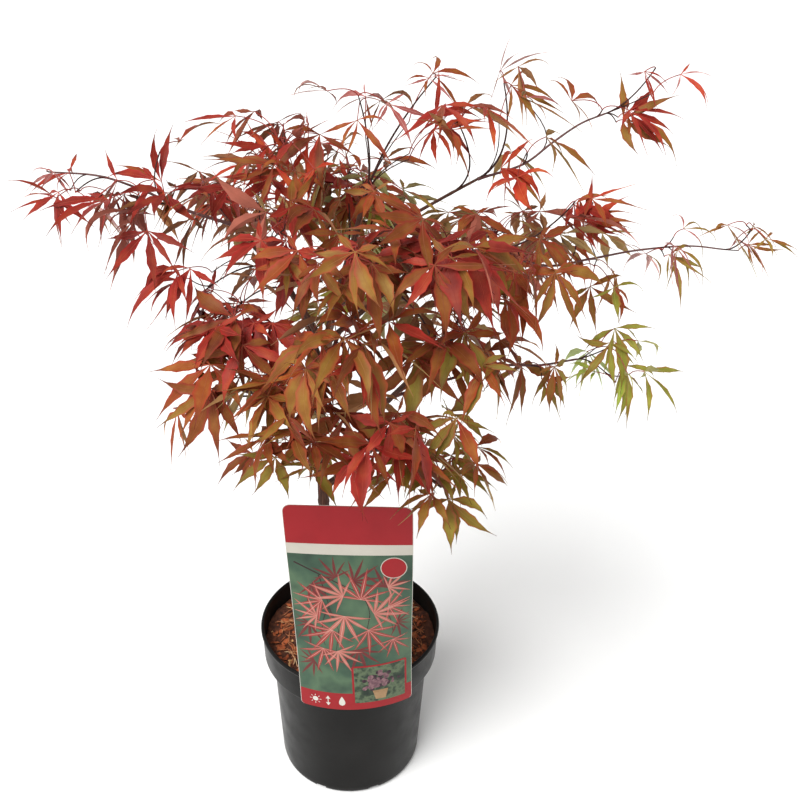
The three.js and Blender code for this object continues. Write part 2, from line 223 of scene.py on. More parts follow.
def revolve(profile, around):
    """Turns a profile of (radius, height) about the pot's axis. It starts and ends near the axis, where
    the end fans close it, and runs up the outside first."""
    turn = np.linspace(0, 2 * np.pi, around, endpoint=False)
    ring = np.stack([np.cos(turn), np.sin(turn)], -1)
    flat = profile[:, None, :1] * ring[None]
    high = np.broadcast_to(profile[:, None, 1:], (*flat.shape[:2], 1))
    return tube_mesh(np.concatenate([flat, high], -1)[None])


RIM_RADIUS, _, POT_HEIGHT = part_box("pot")[1]
COLLAR_FOOT = POT_HEIGHT - 38.5 * MM
FOOT_RADIUS = 76.6 * MM
WALL = 1.7 * MM
BODY_TOP = 83.4 * MM
COLLAR_RADIUS = (92.3 * MM, 93.3 * MM)
NOTCH_HALF = np.array([4, 6, 3.5]) * MM

pot_section = soften(
    [(0.5 * MM, 0), (70 * MM, 0), (FOOT_RADIUS - 1.6 * MM, 1.4 * MM), (FOOT_RADIUS, 6 * MM),
     (BODY_TOP, COLLAR_FOOT), (COLLAR_RADIUS[0], COLLAR_FOOT + 1.7 * MM),
     (COLLAR_RADIUS[1], POT_HEIGHT - 5.2 * MM), (RIM_RADIUS - 0.4 * MM, POT_HEIGHT - 4.2 * MM),
     (RIM_RADIUS, POT_HEIGHT - 2 * MM), (RIM_RADIUS - 1.2 * MM, POT_HEIGHT),
     (COLLAR_RADIUS[1] - WALL, POT_HEIGHT - 0.4 * MM),
     (COLLAR_RADIUS[0] - WALL, COLLAR_FOOT + 1.7 * MM), (BODY_TOP - WALL, COLLAR_FOOT),
     (FOOT_RADIUS - WALL, 6 * MM), (68 * MM, 2 * MM), (0.5 * MM, 2 * MM)],
    [2 * MM, 2 * MM, 4 * MM, 1.2 * MM, 1.2 * MM, 1.2 * MM, 1 * MM, 1.4 * MM, 1.4 * MM, 1 * MM,
     2 * MM, 2 * MM, 4 * MM, 3 * MM])


def drain_notches(solid):
    """Cuts eight small boxes out of the foot's corner, evenly round the pot, and keeps the result."""
    ends = (-1, 1)
    cube = np.array([(x, y, z) for x in ends for y in ends for z in ends]) * NOTCH_HALF
    sides = np.array([(0, 1, 3, 2), (4, 6, 7, 5), (0, 4, 5, 1), (2, 3, 7, 6), (0, 2, 6, 4), (1, 5, 7, 3)])
    boxes = []
    for turn in (np.arange(8) + 0.5) * np.pi / 4:
        spin = np.array([[np.cos(turn), np.sin(turn), 0], [-np.sin(turn), np.cos(turn), 0], [0, 0, 1]])
        boxes.append(((cube + np.array([FOOT_RADIUS, 0, 2 * MM])) @ spin, [sides]))
    points, faces = join_meshes(boxes)
    cutter_mesh = bpy.data.meshes.new("notch_cutter")
    cutter_mesh.from_pydata(points.tolist(), [], faces[0].tolist())
    cutter = place_object("notch_cutter", cutter_mesh)
    cut = solid.modifiers.new("notches", "BOOLEAN")
    cut.operation = "DIFFERENCE"
    cut.object = cutter
    bpy.context.view_layer.update()
    shaped = solid.evaluated_get(bpy.context.evaluated_depsgraph_get())
    notched = bpy.data.meshes.new_from_object(shaped)
    solid.modifiers.clear()
    solid.data = notched
    bpy.data.objects.remove(cutter)


def moulded_polypropylene():
    # Black polypropylene from a spark-eroded mould: a soft satin sheen, a faint grain and a little
    # dry dust. The grain is drawn at 1.5 mm, coarser than the real 0.2 mm, so that it shows.
    made = start_material("moulded_polypropylene", 0.36, 1.49, specular=0.09)
    mottle(made, 45 * MM, ("#100f0e", "#151413", "#1b1a19"), detail=6.0)
    sheen = spread(made.tree, grain(made, 22 * MM, 5.0), 0.3, 0.7, 0.28, 0.44)
    made.tree.links.new(sheen, made.shader.inputs["Roughness"])
    relief(made, 1.5 * MM, 0.06 * MM, detail=4.0)
    return made.material


drain_notches(build_piece("nursery_pot", revolve(pot_section, 168), [moulded_polypropylene()],
                          ["pot"], sharp=50))


# ---- Potting mix ---------------------------------------------------------------------------------
# Coarse composted bark with loose fibres, filled to 18 mm below the rim. The bed is one lumpy closed
# body, and loose chips and curled fibres of three browns lie on it.

MIX_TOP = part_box("potting_mix")[1][2]
MIX_EDGE = COLLAR_RADIUS[0] - WALL - 0.2 * MM


def mix_height(x, y):
    """The mix's surface over the pot's floor plan: flat by the trunk, falling slightly to the wall, with
    lumps that are sums of crossed sines from 40 mm to 5 mm long."""
    far = np.hypot(x, y) / MIX_EDGE
    lumps = 1.3 * np.sin(x / MM * 0.16 + 1) * np.cos(y / MM * 0.19)
    lumps = lumps + 0.9 * np.sin(x / MM * 0.43 + y / MM * 0.21) * np.cos(y / MM * 0.47 - 0.8)
    lumps = lumps + 0.5 * np.sin(x / MM * 1.13 - y / MM * 0.5) * np.sin(y / MM * 1.31 + 0.4)
    return MIX_TOP + (lumps * np.clip(far * 3, 0.25, 1) - 1.2 - 2.5 * far ** 3) * MM


def mix_bed():
    """A disc of rings from wall to middle, its surface at mix_height, closed below by the pot's shape."""
    below = np.array([(0.5 * MM, 2.4 * MM), (66 * MM, 2.4 * MM), (73.5 * MM, 8 * MM),
                      (BODY_TOP - WALL - 0.3 * MM, COLLAR_FOOT), (MIX_EDGE, COLLAR_FOOT + 4 * MM)])
    across = np.linspace(MIX_EDGE, 0.5 * MM, 56)
    profile = np.concatenate([below, np.stack([across, np.full(56, MIX_TOP)], -1)])
    points, faces = revolve(profile, 144)
    top = points[:, 2] > MIX_TOP - 0.01 * MM
    points[top, 2] = mix_height(points[top, 0], points[top, 1])
    return points, faces


def bark_compost(name, colours):
    # Damp composted bark: matt and crumbly, with each chip darker where it is wet.
    made = start_material(name, 0.88, 1.45)
    mottle(made, 5 * MM, colours, detail=8.0)
    relief(made, 1.2 * MM, 0.5 * MM, detail=6.0)
    return made.material


def scatter_on_mix(count, rng, margin=4 * MM):
    """Random places on the mix, evenly by area, kept off the wall and off the trunk's foot."""
    far = (MIX_EDGE - margin) * np.sqrt(rng.random(count * 2))
    turn = rng.random(count * 2) * 2 * np.pi
    x, y = far * np.cos(turn), far * np.sin(turn)
    clear = np.hypot(x + 12 * MM, y - 2 * MM) > 11 * MM
    x, y = x[clear][:count], y[clear][:count]
    return np.stack([x, y, mix_height(x, y)], -1)


def bark_chips(count, longest, rng):
    """Chips as flattened eight-cornered flakes: a squashed double pyramid of six sides with jittered
    corners, turned at random but mostly lying flat."""
    around = np.arange(6) * np.pi / 3
    hexagon = np.stack([np.cos(around), np.sin(around), 0 * around], -1)
    rings = np.stack([hexagon * 0.55 + [0, 0, -0.5], hexagon + [0, 0, -0.15], hexagon * 0.9 + [0, 0, 0.3],
                      hexagon * 0.45 + [0, 0, 0.55]])
    size = longest * rng.uniform(0.35, 1, count)[:, None] * np.array([1, 0.5, 0.26])
    size = size * rng.uniform(0.7, 1.3, (count, 3)) / 2
    shaped = rings[None] * rng.uniform(0.75, 1.2, (count, 4, 6, 1)) * size[:, None, None]
    angles = rng.uniform(0, 2 * np.pi, count), rng.normal(0, 0.35, count), rng.normal(0, 0.35, count)
    cy, sy, cp, sp, cr, sr = (f(angle) for angle in angles for f in (np.cos, np.sin))
    spin = np.stack([cy * cp, cy * sp * sr - sy * cr, cy * sp * cr + sy * sr,
                     sy * cp, sy * sp * sr + cy * cr, sy * sp * cr - cy * sr,
                     -sp, cp * sr, cp * cr], -1).reshape(count, 1, 1, 3, 3)
    placed = (spin @ shaped[..., None])[..., 0] + scatter_on_mix(count, rng, longest * 0.7)[:, None, None]
    placed[..., 2] += size[:, None, None, 2] * 0.6
    return tube_mesh(placed)


def frames_along(paths):
    """For paths (b, k, 3): the unit tangent at each point, and a normal and binormal square to it. The
    normal is the world axis least in line with the path, less its part along the tangent."""
    tangent = unit(np.gradient(paths, axis=1))
    least = np.abs(tangent.mean(axis=1)).argmin(axis=-1)
    axis = np.eye(3)[least][:, None]
    normal = unit(axis - (axis * tangent).sum(-1, keepdims=True) * tangent)
    return tangent, normal, np.cross(tangent, normal)


def turned(first, second, angle):
    """Two directions square to each other, both turned by the angle from the first towards the second:
    cos first + sin second, and cos second - sin first."""
    cos, sin = np.cos(angle)[..., None], np.sin(angle)[..., None]
    return cos * first + sin * second, cos * second - sin * first


def rings_round(paths, sides):
    """Unit circles square to each path (b, k, 3), as offsets from its points."""
    _, normal, binormal = frames_along(paths)
    turn = np.arange(sides) * 2 * np.pi / sides
    return turned(normal[..., None, :], binormal[..., None, :], turn)[0]


def round_tubes(paths, radii, sides):
    """Carries a circle of the radius at each point along each path (b, k, 3)."""
    return tube_mesh(paths[..., None, :] + np.asarray(radii)[..., None, None] * rings_round(paths, sides))


def mix_fibres(count, length, thickness, rng):
    """Fibres as thin tubes on short arcs that lie on the mix, with a random bow and lift."""
    middle = scatter_on_mix(count, rng, length * 0.55)
    turn = rng.random(count) * 2 * np.pi
    along = np.linspace(-0.5, 0.5, 9)[None] * length * rng.uniform(0.4, 1, (count, 1))
    bow = rng.normal(0, 0.25, (count, 1)) * along * along / (length / 4)
    x = middle[:, :1] + np.cos(turn)[:, None] * along - np.sin(turn)[:, None] * bow
    y = middle[:, 1:2] + np.sin(turn)[:, None] * along + np.cos(turn)[:, None] * bow
    lift = thickness + 1.5 * MM * rng.random((count, 1)) * (1 + np.cos(np.pi * along / length))
    paths = np.stack([x, y, mix_height(x, y) + lift], -1)
    radii = thickness / 2 * np.array([0.5] + [1] * 7 + [0.5])
    return round_tubes(paths, np.broadcast_to(radii, (count, 9)), 5)


rng = np.random.default_rng(11)
build_piece("mix_bed", mix_bed(), [bark_compost("damp_bark_mix", ("#2e160d", "#4f2918", "#683a24"))],
            ["potting_mix"], sharp=60)
# chips: (how many, longest, colours)
CHIPS = {
    "chips_dark": (520, 9 * MM, ("#34190f", "#562a19", "#6b3a24")),
    "chips_red": (620, 11 * MM, ("#743619", "#964a26", "#b26238")),
    "chips_tan": (90, 8 * MM, ("#a5713f", "#c4925f", "#d8b084")),
}
for name, (count, longest, colours) in CHIPS.items():
    build_piece(name, bark_chips(count, longest, rng), [bark_compost(name, colours)],
                sharp=25)
# fibres: (how many, length, thickness, colours)
FIBRES = {
    "fibres_brown": (230, 26 * MM, 0.9 * MM, ("#7c4528", "#a0613c", "#b87a50")),
    "fibres_tan": (70, 30 * MM, 0.8 * MM, ("#b98d60", "#d2ac80", "#e4c8a2")),
}
for name, (count, length, thick, colours) in FIBRES.items():
    build_piece(name, mix_fibres(count, length, thick, rng), [bark_compost(name, colours)])


# ---- Plant label ---------------------------------------------------------------------------------
# A bent card of white polypropylene hung on the rim by a tongue. Its front is printed in flat inks
# under varnish: a red header, a cream strip, a green field with a leaf sprig, and a red foot.

CARD_FOOT, CARD_TOP = (corner[2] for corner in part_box("plant_label"))
CARD_HEIGHT = CARD_TOP - CARD_FOOT
CARD_WIDTH = 116 * MM
CARD_THICK = 0.9 * MM
CARD_CORNER = 7 * MM
# the back's distance in front of the pot's axis, the radius of the bend at the foot, and how far to the
# right of the axis the card's middle lies at its foot and at its top
CARD_BACK = 96.6 * MM
CARD_BEND = 120 * MM
CARD_OFFSET = (12.4 * MM, 3.2 * MM)


def on_card(across, up, proud):
    """Places flat card coordinates on the bent card, at a height over its front. The card is part of a
    drum a little flatter than the rim at its foot, with its distance across as the arc length, and
    flattens smoothly to its top."""
    rise = up / CARD_HEIGHT
    wide = across + CARD_OFFSET[0] + (CARD_OFFSET[1] - CARD_OFFSET[0]) * rise
    t = np.clip((up - (POT_HEIGHT - CARD_FOOT + 8 * MM)) / (CARD_TOP - POT_HEIGHT - 8 * MM), 0, 1)
    bend = 1 - t * t * (3 - 2 * t)
    turn = wide / CARD_BEND
    x = wide * (1 - bend) + CARD_BEND * np.sin(turn) * bend
    y = CARD_BEND * (1 - np.cos(turn)) * bend - CARD_BACK - CARD_THICK - proud
    return np.stack([x, y, CARD_FOOT + up], -1)


def slab_on_card(left, right, proud, columns, back=-0.1 * MM):
    """A thin closed slab between two edge lines (k, 2) on the card: a front at the given height over the
    card and a back just inside it, joined round their rim as a tube of flat rings."""
    share = np.linspace(0, 1, columns)[None, :, None]
    flat = left[:, None] * (1 - share) + right[:, None] * share
    front = on_card(flat[..., 0], flat[..., 1], proud)
    behind = on_card(flat[..., 0], flat[..., 1], back)
    return tube_mesh(np.concatenate([front, behind[:, ::-1]], axis=1)[None])


def band(bottom, top, inset, round_bottom=0.0, round_top=0.0, rows=24, centre=0.0, width=CARD_WIDTH):
    """The left and right edges of an upright band with its corners rounded by quarter circles."""
    up = bottom + (top - bottom) * (1 - np.cos(np.linspace(0, np.pi, rows))) / 2
    cut = np.zeros(rows)
    for radius, gone in ((round_bottom, up - bottom), (round_top, top - up)):
        if radius:
            inside = np.clip(radius - gone, 0, radius)
            cut = np.maximum(cut, radius - np.sqrt(radius ** 2 - inside ** 2))
    half = width / 2 - inset - cut
    return np.stack([centre - half, up], -1), np.stack([centre + half, up], -1)


def printed_ink(name, colours, size=30 * MM):
    # Offset ink on white polypropylene under a satin varnish: even colour, a slight sheen.
    made = start_material(name, 0.38, 1.48, specular=0.25)
    mottle(made, size, colours)
    relief(made, 14 * MM, 0.05 * MM)
    return made.material


def card_body():
    """The card as flat rings from foot to top with rounded corners, and its tongue: a strip that leaves
    the card's back just over the rim, follows its bend there, runs in and turns down inside the pot."""
    left, right = band(0, CARD_HEIGHT, 0, 4 * MM, CARD_CORNER, rows=60)
    card = slab_on_card(left, right, 0, 25, back=-CARD_THICK)
    wide, thin = 17 * MM, 0.55 * MM
    over = POT_HEIGHT + 0.9 * MM
    inner = 0.6 * MM - np.sqrt((COLLAR_RADIUS[1] - WALL - 1 * MM) ** 2 - (CARD_OFFSET[0] + wide) ** 2)
    line = soften([(-CARD_BACK, over), (inner, over), (inner, over - 13 * MM)], [3 * MM], steps=7)
    path = np.concatenate([np.zeros((len(line), 1)), line], axis=1)
    tangent, _, _ = frames_along(path[None])
    face = np.cross((1.0, 0, 0), tangent[0])[:, None]
    across = CARD_OFFSET[0] + wide * np.linspace(1, -1, 9)
    row = np.stack([across, 0 * across, 0 * across], -1)[None]
    path = path[:, None]
    rings = np.concatenate([path + row + thin * face, path + row[:, ::-1] - thin * face], axis=1)
    rings[0, :, 1] = CARD_BEND * (1 - np.cos(rings[0, :, 0] / CARD_BEND)) - CARD_BACK - CARD_THICK / 2
    return join_meshes([card, tube_mesh(rings[None])])


HEADER_FOOT = CARD_HEIGHT - 42 * MM
STRIP_FOOT = HEADER_FOOT - 12 * MM
FOOT_TOP = 22 * MM
MARGIN = 0.5 * MM
RED_INK = ("#840e16", "#8d131a")
CREAM_INK = ("#aca79c", "#b4afa4")
FIELD = ((CARD_WIDTH / 2 - 2 * MM, STRIP_FOOT - 1 * MM), (2 * MM - CARD_WIDTH / 2, FOOT_TOP + 1 * MM))


def leaf_motif(at, size, turn, breadth=0.052):
    """A plain palmate leaf of seven slender lobes from one point. Each lobe's middle bows away from the
    leaf's own middle with the square of the way along, its half-width is a sine of the way along, and it
    ends at the field's edge at the latest."""
    along = np.linspace(0, 1, 11)
    parts = []
    for lobe in np.linspace(-1, 1, 7):
        angle = turn + 1.45 * lobe
        run, side = np.array([np.sin(angle), np.cos(angle)]), np.array([np.cos(angle), -np.sin(angle)])
        room = [(edge - place) / step for place, step, edge in zip(at, run, np.where(run > 0, *FIELD))]
        length = min(size * (1 - 0.38 * abs(lobe) ** 1.5), *room)
        bow = 0.14 * lobe * along ** 2
        middle = np.array(at) + length * (along[:, None] * run + bow[:, None] * side)
        half = breadth * length * np.sin(np.pi * along ** 0.8) ** 1.2 + 0.1 * MM
        parts.append((middle - half[:, None] * side, middle + half[:, None] * side))
    return parts


def disc(at, radius):
    """The left and right edges of a round spot, from its place and radius in millimetres."""
    turn = np.linspace(0, np.pi, 20)
    up = at[1] - radius * np.cos(turn)
    half = np.maximum(radius * np.sin(turn), 0.02)
    return np.stack([at[0] - half, up], -1) * MM, np.stack([at[0] + half, up], -1) * MM


def stroke(start, end, width):
    """The two edges of a straight line of ink, from its ends and width in millimetres."""
    start, end = np.array(start), np.array(end)
    run = unit(end - start)
    side = np.array([run[1], -run[0]]) * width / 2
    middle = start + (end - start) * np.linspace(0, 1, 8)[:, None]
    return (middle - side) * MM, (middle + side) * MM


def arch(start, bow, end, width):
    """A bowed line of ink: a parabola that thins towards its end."""
    start, bow, end = map(np.array, (start, bow, end))
    t = np.linspace(0, 1, 16)[:, None]
    run = unit(2 * (1 - t) * (bow - start) + 2 * t * (end - bow))
    side = np.stack([run[:, 1], -run[:, 0]], -1) * width / 2 * (1 - 0.5 * t)
    middle = parabola(start, bow, end, 16)
    return (middle - side) * MM, (middle + side) * MM


def print_shapes(name, shapes, layer, colours, size=30 * MM, columns=4):
    """Lays a list of edge pairs on the card in one ink. Each layer is 0.03 mm above the one before."""
    slabs = [slab_on_card(left, right, 0.03 * MM * (layer + 1), columns) for left, right in shapes]
    build_piece(name, join_meshes(slabs), [printed_ink(name, colours, size)])


white_card = printed_ink("white_polypropylene_card", ("#b5b2aa", "#bebbb3"))
build_piece("label_card", card_body(), [white_card], ["plant_label"], sharp=35)
print_shapes("label_header", [band(HEADER_FOOT, CARD_HEIGHT, MARGIN, 0, CARD_CORNER)], 1, RED_INK,
             columns=25)
print_shapes("label_strip", [band(STRIP_FOOT, HEADER_FOOT, MARGIN)], 0, CREAM_INK, columns=25)
print_shapes("label_field", [band(FOOT_TOP, STRIP_FOOT, MARGIN, rows=48)], 0,
             ("#283a2f", "#364e3d", "#4a6149", "#324637"), size=42 * MM, columns=25)
print_shapes("label_foot", [band(0, FOOT_TOP, MARGIN, 4 * MM, 0)], 1, RED_INK, columns=25)

# the sprig: a branch that arches in from the upper left, with side twigs, and leaves at their ends
# leaf: (place in mm from the card's middle and foot, lobe length in mm, turn from upright in radians)
SPRIG = {
    "rear": [((-38, 158), 30, 2.3), ((2, 164), 30, 0.9), ((30, 156), 30, 0.2), ((-42, 110), 32, -2.6),
             ((42, 110), 30, 1.9), ((4, 80), 32, 2.9), ((-40, 62), 28, -2.0), ((-14, 168), 26, -0.6)],
    "middle": [((-28, 140), 38, -1.9), ((8, 142), 38, 0.2), ((34, 132), 34, 1.7), ((-20, 104), 38, -2.5),
               ((14, 104), 36, 2.6), ((-30, 80), 32, -2.9), ((38, 88), 26, 2.9)],
    "front": [((-8, 146), 34, -1.2), ((20, 124), 38, 1.2), ((-8, 122), 40, 3.3), ((-34, 120), 30, -1.4),
              ((34, 156), 24, 1.3), ((-16, 78), 30, 2.7)],
}
# twig of the sprig: (start, bow, end, width), in mm
TWIGS = [((-52, 184), (-24, 168), (8, 150), 1.6), ((8, 150), (16, 136), (16, 122), 1.1),
         ((8, 150), (22, 146), (28, 132), 1.1), ((-30, 170), (-24, 150), (-22, 132), 1.2),
         ((-22, 132), (-18, 118), (-14, 104), 1.0), ((-22, 132), (-34, 110), (-28, 84), 1.0),
         ((16, 122), (14, 110), (12, 100), 0.9), ((28, 132), (38, 118), (38, 96), 0.9),
         ((-14, 104), (-16, 90), (-18, 74), 0.9)]
SPRIG_INKS = {
    "rear": ("#551f1f", "#672927"),
    "middle": ("#84302d", "#943c36"),
    "front": ("#9d5148", "#a8675b"),
}
print_shapes("label_sprig_twigs", [arch(*twig) for twig in TWIGS], 1, ("#281818", "#35201f"), columns=3)
for layer, (tone, motifs) in enumerate(SPRIG.items(), 2):
    lobes = [pair for at, size, turn in motifs for pair in leaf_motif(np.array(at) * MM, size * MM, turn)]
    print_shapes("label_sprig_" + tone, lobes, layer, SPRIG_INKS[tone], size=9 * MM, columns=3)
veins = [pair for at, size, turn in SPRIG["front"] + SPRIG["middle"]
         for pair in leaf_motif(np.array(at) * MM, 0.8 * size * MM, turn, breadth=0.006)]
print_shapes("label_sprig_veins", veins, 5, ("#b27b6f", "#bd8f82"), columns=3)

BADGE = (40, 179)
print_shapes("label_badge_rim", [disc(BADGE, 12.5)], 6, CREAM_INK, columns=9)
print_shapes("label_badge", [disc(BADGE, 11.7)], 7, RED_INK, columns=9)

PANEL = 24
panel_edge = band(7 * MM, 58 * MM, 0, 2 * MM, 2 * MM, centre=PANEL * MM, width=56 * MM)
panel = band(9 * MM, 56 * MM, 0, 1 * MM, 1 * MM, centre=PANEL * MM, width=52 * MM)
PANEL_INKS = ("#1a271d", "#2d3b2b", "#56644a", "#233127")
print_shapes("label_panel_edge", [panel_edge], 6, RED_INK, columns=13)
print_shapes("label_panel", [panel], 7, PANEL_INKS, size=9 * MM, columns=13)
draw = np.random.default_rng(5)
spots = zip(PANEL + draw.normal(0, 8, 60), 37 + draw.normal(0, 6, 60), draw.uniform(1.2, 3.4, 60))
tufts = [disc((x, y), radius) for x, y, radius in spots if abs(x - PANEL) < 21 and 24 < y < 51]
print_shapes("label_panel_shrub", tufts[::2], 8, ("#1c1014", "#2f1d27", "#462f35"), size=3 * MM)
print_shapes("label_panel_tufts", tufts[1::2], 9, ("#53373f", "#6b4c53", "#826264"), size=3 * MM)
panel_pot = [np.array([(PANEL + side * 5, 12), (PANEL + side * 8, 24)]) * MM for side in (-1, 1)]
print_shapes("label_panel_pot", [panel_pot], 10, ("#806242", "#997b59"), size=8 * MM)

# care signs: the middles of a sun, an upright double arrow and a drop, in mm
SUN, ARROW, DROP = (-42, 11), (-29, 11), (-15, 11)
ray_angles = np.arange(8) * np.pi / 4
icons = [stroke((SUN[0] + 4.2 * c, SUN[1] + 4.2 * s), (SUN[0] + 6 * c, SUN[1] + 6 * s), 0.7)
         for c, s in zip(np.cos(ray_angles), np.sin(ray_angles))]
icons.append(disc(SUN, 2.9))
icons.append(stroke((ARROW[0], 6), (ARROW[0], 16), 0.8))
for tip, base in ((17.5, 13.5), (4.5, 8.5)):
    head = [(0.05, tip), (2.3, base)][::1 if base > tip else -1]
    icons.append([np.array([(ARROW[0] + side * half, up) for half, up in head]) * MM for side in (-1, 1)])
drop_up = np.linspace(0, 1, 16)
drop_half = 3.1 * np.sin(np.pi * drop_up ** 0.62) ** 0.9 + 0.05
icons.append([np.stack([DROP[0] + side * drop_half, 5.5 + 12 * drop_up], -1) * MM for side in (-1, 1)])
print_shapes("label_icons", icons, 2, ("#bab7ad", "#c3c0b8"))


# ---- Trunk, boughs and shoots --------------------------------------------------------------------
# Young wood: grey-brown bark on the trunk and boughs, with fine lengthwise ridges and ring scars at
# the old nodes, and thin red-brown bark on the one-year shoots. Each grows out of its parent.

# limb: (points from foot to tip in mm, radius in mm at the foot and at the tip)
LIMBS = {
    "trunk": ([(-12, 2, 162), (-13, 2, 177), (-18, 1, 238), (-26, 0, 330), (-27, 0, 393), (-26, 0, 459),
               (-16, 5, 533), (2, 5, 598), (14, 0, 645)], (7.6, 2.4)),
    "bough_fork": ([(-26, 0, 349), (-7, -3, 370), (6, -7, 398), (14, -15, 431), (38, -42, 475),
                    (80, -78, 543)], (3.6, 1.9)),
    "bough_front_low": ([(12, -12, 423), (28, -52, 455), (40, -98, 483), (42, -124, 495)], (2.3, 1.5)),
    "bough_foot": ([(6, -7, 397), (32, -30, 413), (60, -58, 415), (86, -80, 408)], (2.1, 1.4)),
    "shoot_low_right": ([(40, -44, 478), (84, -56, 502), (135, -48, 514), (166, -40, 511),
                         (206, -10, 503)], (1.5, 0.9)),
    "bough_left_low": ([(-27, 0, 431), (-50, -28, 457), (-72, -60, 485), (-86, -82, 503)], (2.8, 1.7)),
    "bough_foot_left": ([(-27, 0, 369), (-45, -7, 385), (-64, -13, 395)], (2.2, 1.5)),
    "bough_left": ([(-21, 2, 501), (-46, 0, 548), (-72, -2, 588), (-98, 0, 618)], (3.2, 2.1)),
    "shoot_left": ([(-98, 0, 618), (-140, 0, 631), (-171, 4, 644), (-209, 6, 656), (-252, 8, 658)],
                   (1.6, 0.7)),
    "bough_right": ([(-13, 5, 543), (22, -6, 573), (62, -24, 599), (94, -40, 613), (120, -50, 620)],
                    (3.0, 1.9)),
    "bough_crest_right": ([(0, 5, 591), (42, 12, 619), (80, 12, 643), (108, 8, 661)], (2.0, 1.15)),
    "shoot_upper_right": ([(108, 8, 661), (146, 8, 675), (168, 14, 691), (192, 22, 706), (212, 28, 713)],
                          (1.15, 0.75)),
    "shoot_far_right": ([(120, -50, 620), (166, -38, 603), (205, -20, 603), (246, -10, 608), (293, -2, 610),
                         (322, 0, 607)], (1.3, 0.65)),
    "bough_back_left": ([(-24, 1, 479), (-45, 30, 523), (-70, 60, 555), (-86, 78, 569)], (3.0, 1.9)),
    "bough_back": ([(-26, 0, 449), (-20, 30, 477), (-12, 58, 493), (-6, 72, 498)], (2.6, 1.7)),
    "bough_back_right": ([(-21, 3, 507), (16, 28, 533), (56, 56, 559), (86, 78, 579)], (2.8, 1.8)),
}
ROOT_FLARE = 5.5 * MM
NODE_GAP = 38 * MM
NODE_WIDTH = 2.2 * MM


def smooth_path(points, spacing):
    """A centripetal Catmull-Rom curve through the points: between two of them a cubic whose end slopes
    come from the neighbours, with the ends' missing neighbours mirrored. Returned about evenly spaced."""
    p = np.array(points, float) * MM
    p = np.concatenate([[2 * p[0] - p[1]], p, [2 * p[-1] - p[-2]]])
    dt = np.sqrt(np.linalg.norm(np.diff(p, axis=0), axis=1))[:, None]
    before, start, end, after = p[:-3], p[1:-2], p[2:-1], p[3:]
    d0, d1, d2 = dt[:-2], dt[1:-1], dt[2:]
    slope_a = ((start - before) / d0 - (end - before) / (d0 + d1) + (end - start) / d1) * d1
    slope_b = ((end - start) / d1 - (after - start) / (d1 + d2) + (after - end) / d2) * d1
    t = np.linspace(0, 1, 24, endpoint=False)[None, :, None]
    c2 = -3 * start + 3 * end - 2 * slope_a - slope_b
    c3 = 2 * start - 2 * end + slope_a + slope_b
    curve = start[:, None] + slope_a[:, None] * t + c2[:, None] * t ** 2 + c3[:, None] * t ** 3
    curve = np.concatenate([curve.reshape(-1, 3), p[-2:-1]])
    gone = np.concatenate([[0], np.cumsum(np.linalg.norm(np.diff(curve, axis=0), axis=1))])
    even = np.linspace(0, gone[-1], max(4, int(gone[-1] / spacing)))
    return np.stack([np.interp(even, gone, curve[:, i]) for i in range(3)], -1), even


def bark_tube(name, sides, spacing, ridge):
    """A limb with its bark: the radius falls from foot to tip, swells at the foot, at the old nodes and
    (on the trunk) into the root flare, and carries lengthwise ridges, sines of whole turns round it that
    drift slowly along it."""
    points, (first, last) = LIMBS[name]
    path, gone = smooth_path(points, spacing)
    share = gone / gone[-1]
    radius = (first + (last - first) * share ** 0.8) * MM
    if name == "trunk":
        foot = ROOT_FLARE * np.exp(-np.maximum(0, gone - 1 * MM) / (14 * MM))
    else:
        foot = 0.5 * first * MM * np.exp(-gone / (5 * MM))
    seed = np.random.default_rng(len(name) * 7 + int(points[-1][2]))
    nodes = np.arange(seed.uniform(20, 40) * MM, gone[-1], NODE_GAP)
    swell = 0.13 * np.exp(-((gone[:, None] - nodes[None]) / NODE_WIDTH) ** 2).sum(1)
    turn = np.arange(sides) * 2 * np.pi / sides
    rough = np.zeros((len(gone), sides))
    for waves, drift, share_of in ((3, 9, 0.5), (5, 23, 0.4), (8, 41, 0.45), (11, 67, 0.35)):
        phase = seed.uniform(0, 2 * np.pi, 2)
        rough += share_of * np.sin(waves * turn[None] + drift * gone[:, None] + phase[0]
                                   + 0.8 * np.sin(drift * 1.7 * gone[:, None] + phase[1]))
    if name == "trunk":
        spread = np.exp(-np.maximum(0, gone) / (16 * MM))[:, None]
        rough += 3.0 * spread * np.sin(4 * turn[None] + 0.7) + 1.6 * spread * np.sin(3 * turn[None] + 2)
    reach = (radius * (1 + swell) + foot)[:, None] * (1 + ridge * rough)
    shape = tube_mesh(path[:, None] + reach[..., None] * rings_round(path[None], sides))
    return shape, corner_places(gone, sides, first * MM)


def corner_places(gone, sides, radius):
    """Each face corner's (distance round, distance along) in metres, for the quads and then both fans."""
    across = np.arange(sides + 1) * 2 * np.pi * radius / sides
    u, v = np.meshgrid(across, gone)
    quad = np.stack([np.stack([a[:-1, :-1], a[:-1, 1:], a[1:, 1:], a[1:, :-1]], -1) for a in (u, v)], -1)
    first, last = (np.tile([across[1], end], (sides * 3, 1)) for end in (gone[0], gone[-1]))
    return [quad.reshape(-1, 2), first, last]


def bark(name, colours, roughness, depth):
    # Thin young bark: matt, with fine ridges along the limb and small pale pores across it. The
    # pattern follows the limb by its own map of distance round and along, in metres.
    made = start_material(name, roughness, 1.45, uv_map="along")
    mottle(made, 6 * MM, colours, detail=7.0, stretch=(3, 0.35, 1))
    relief(made, 1.6 * MM, depth, detail=5.0, stretch=(2, 0.3, 1))
    return made.material


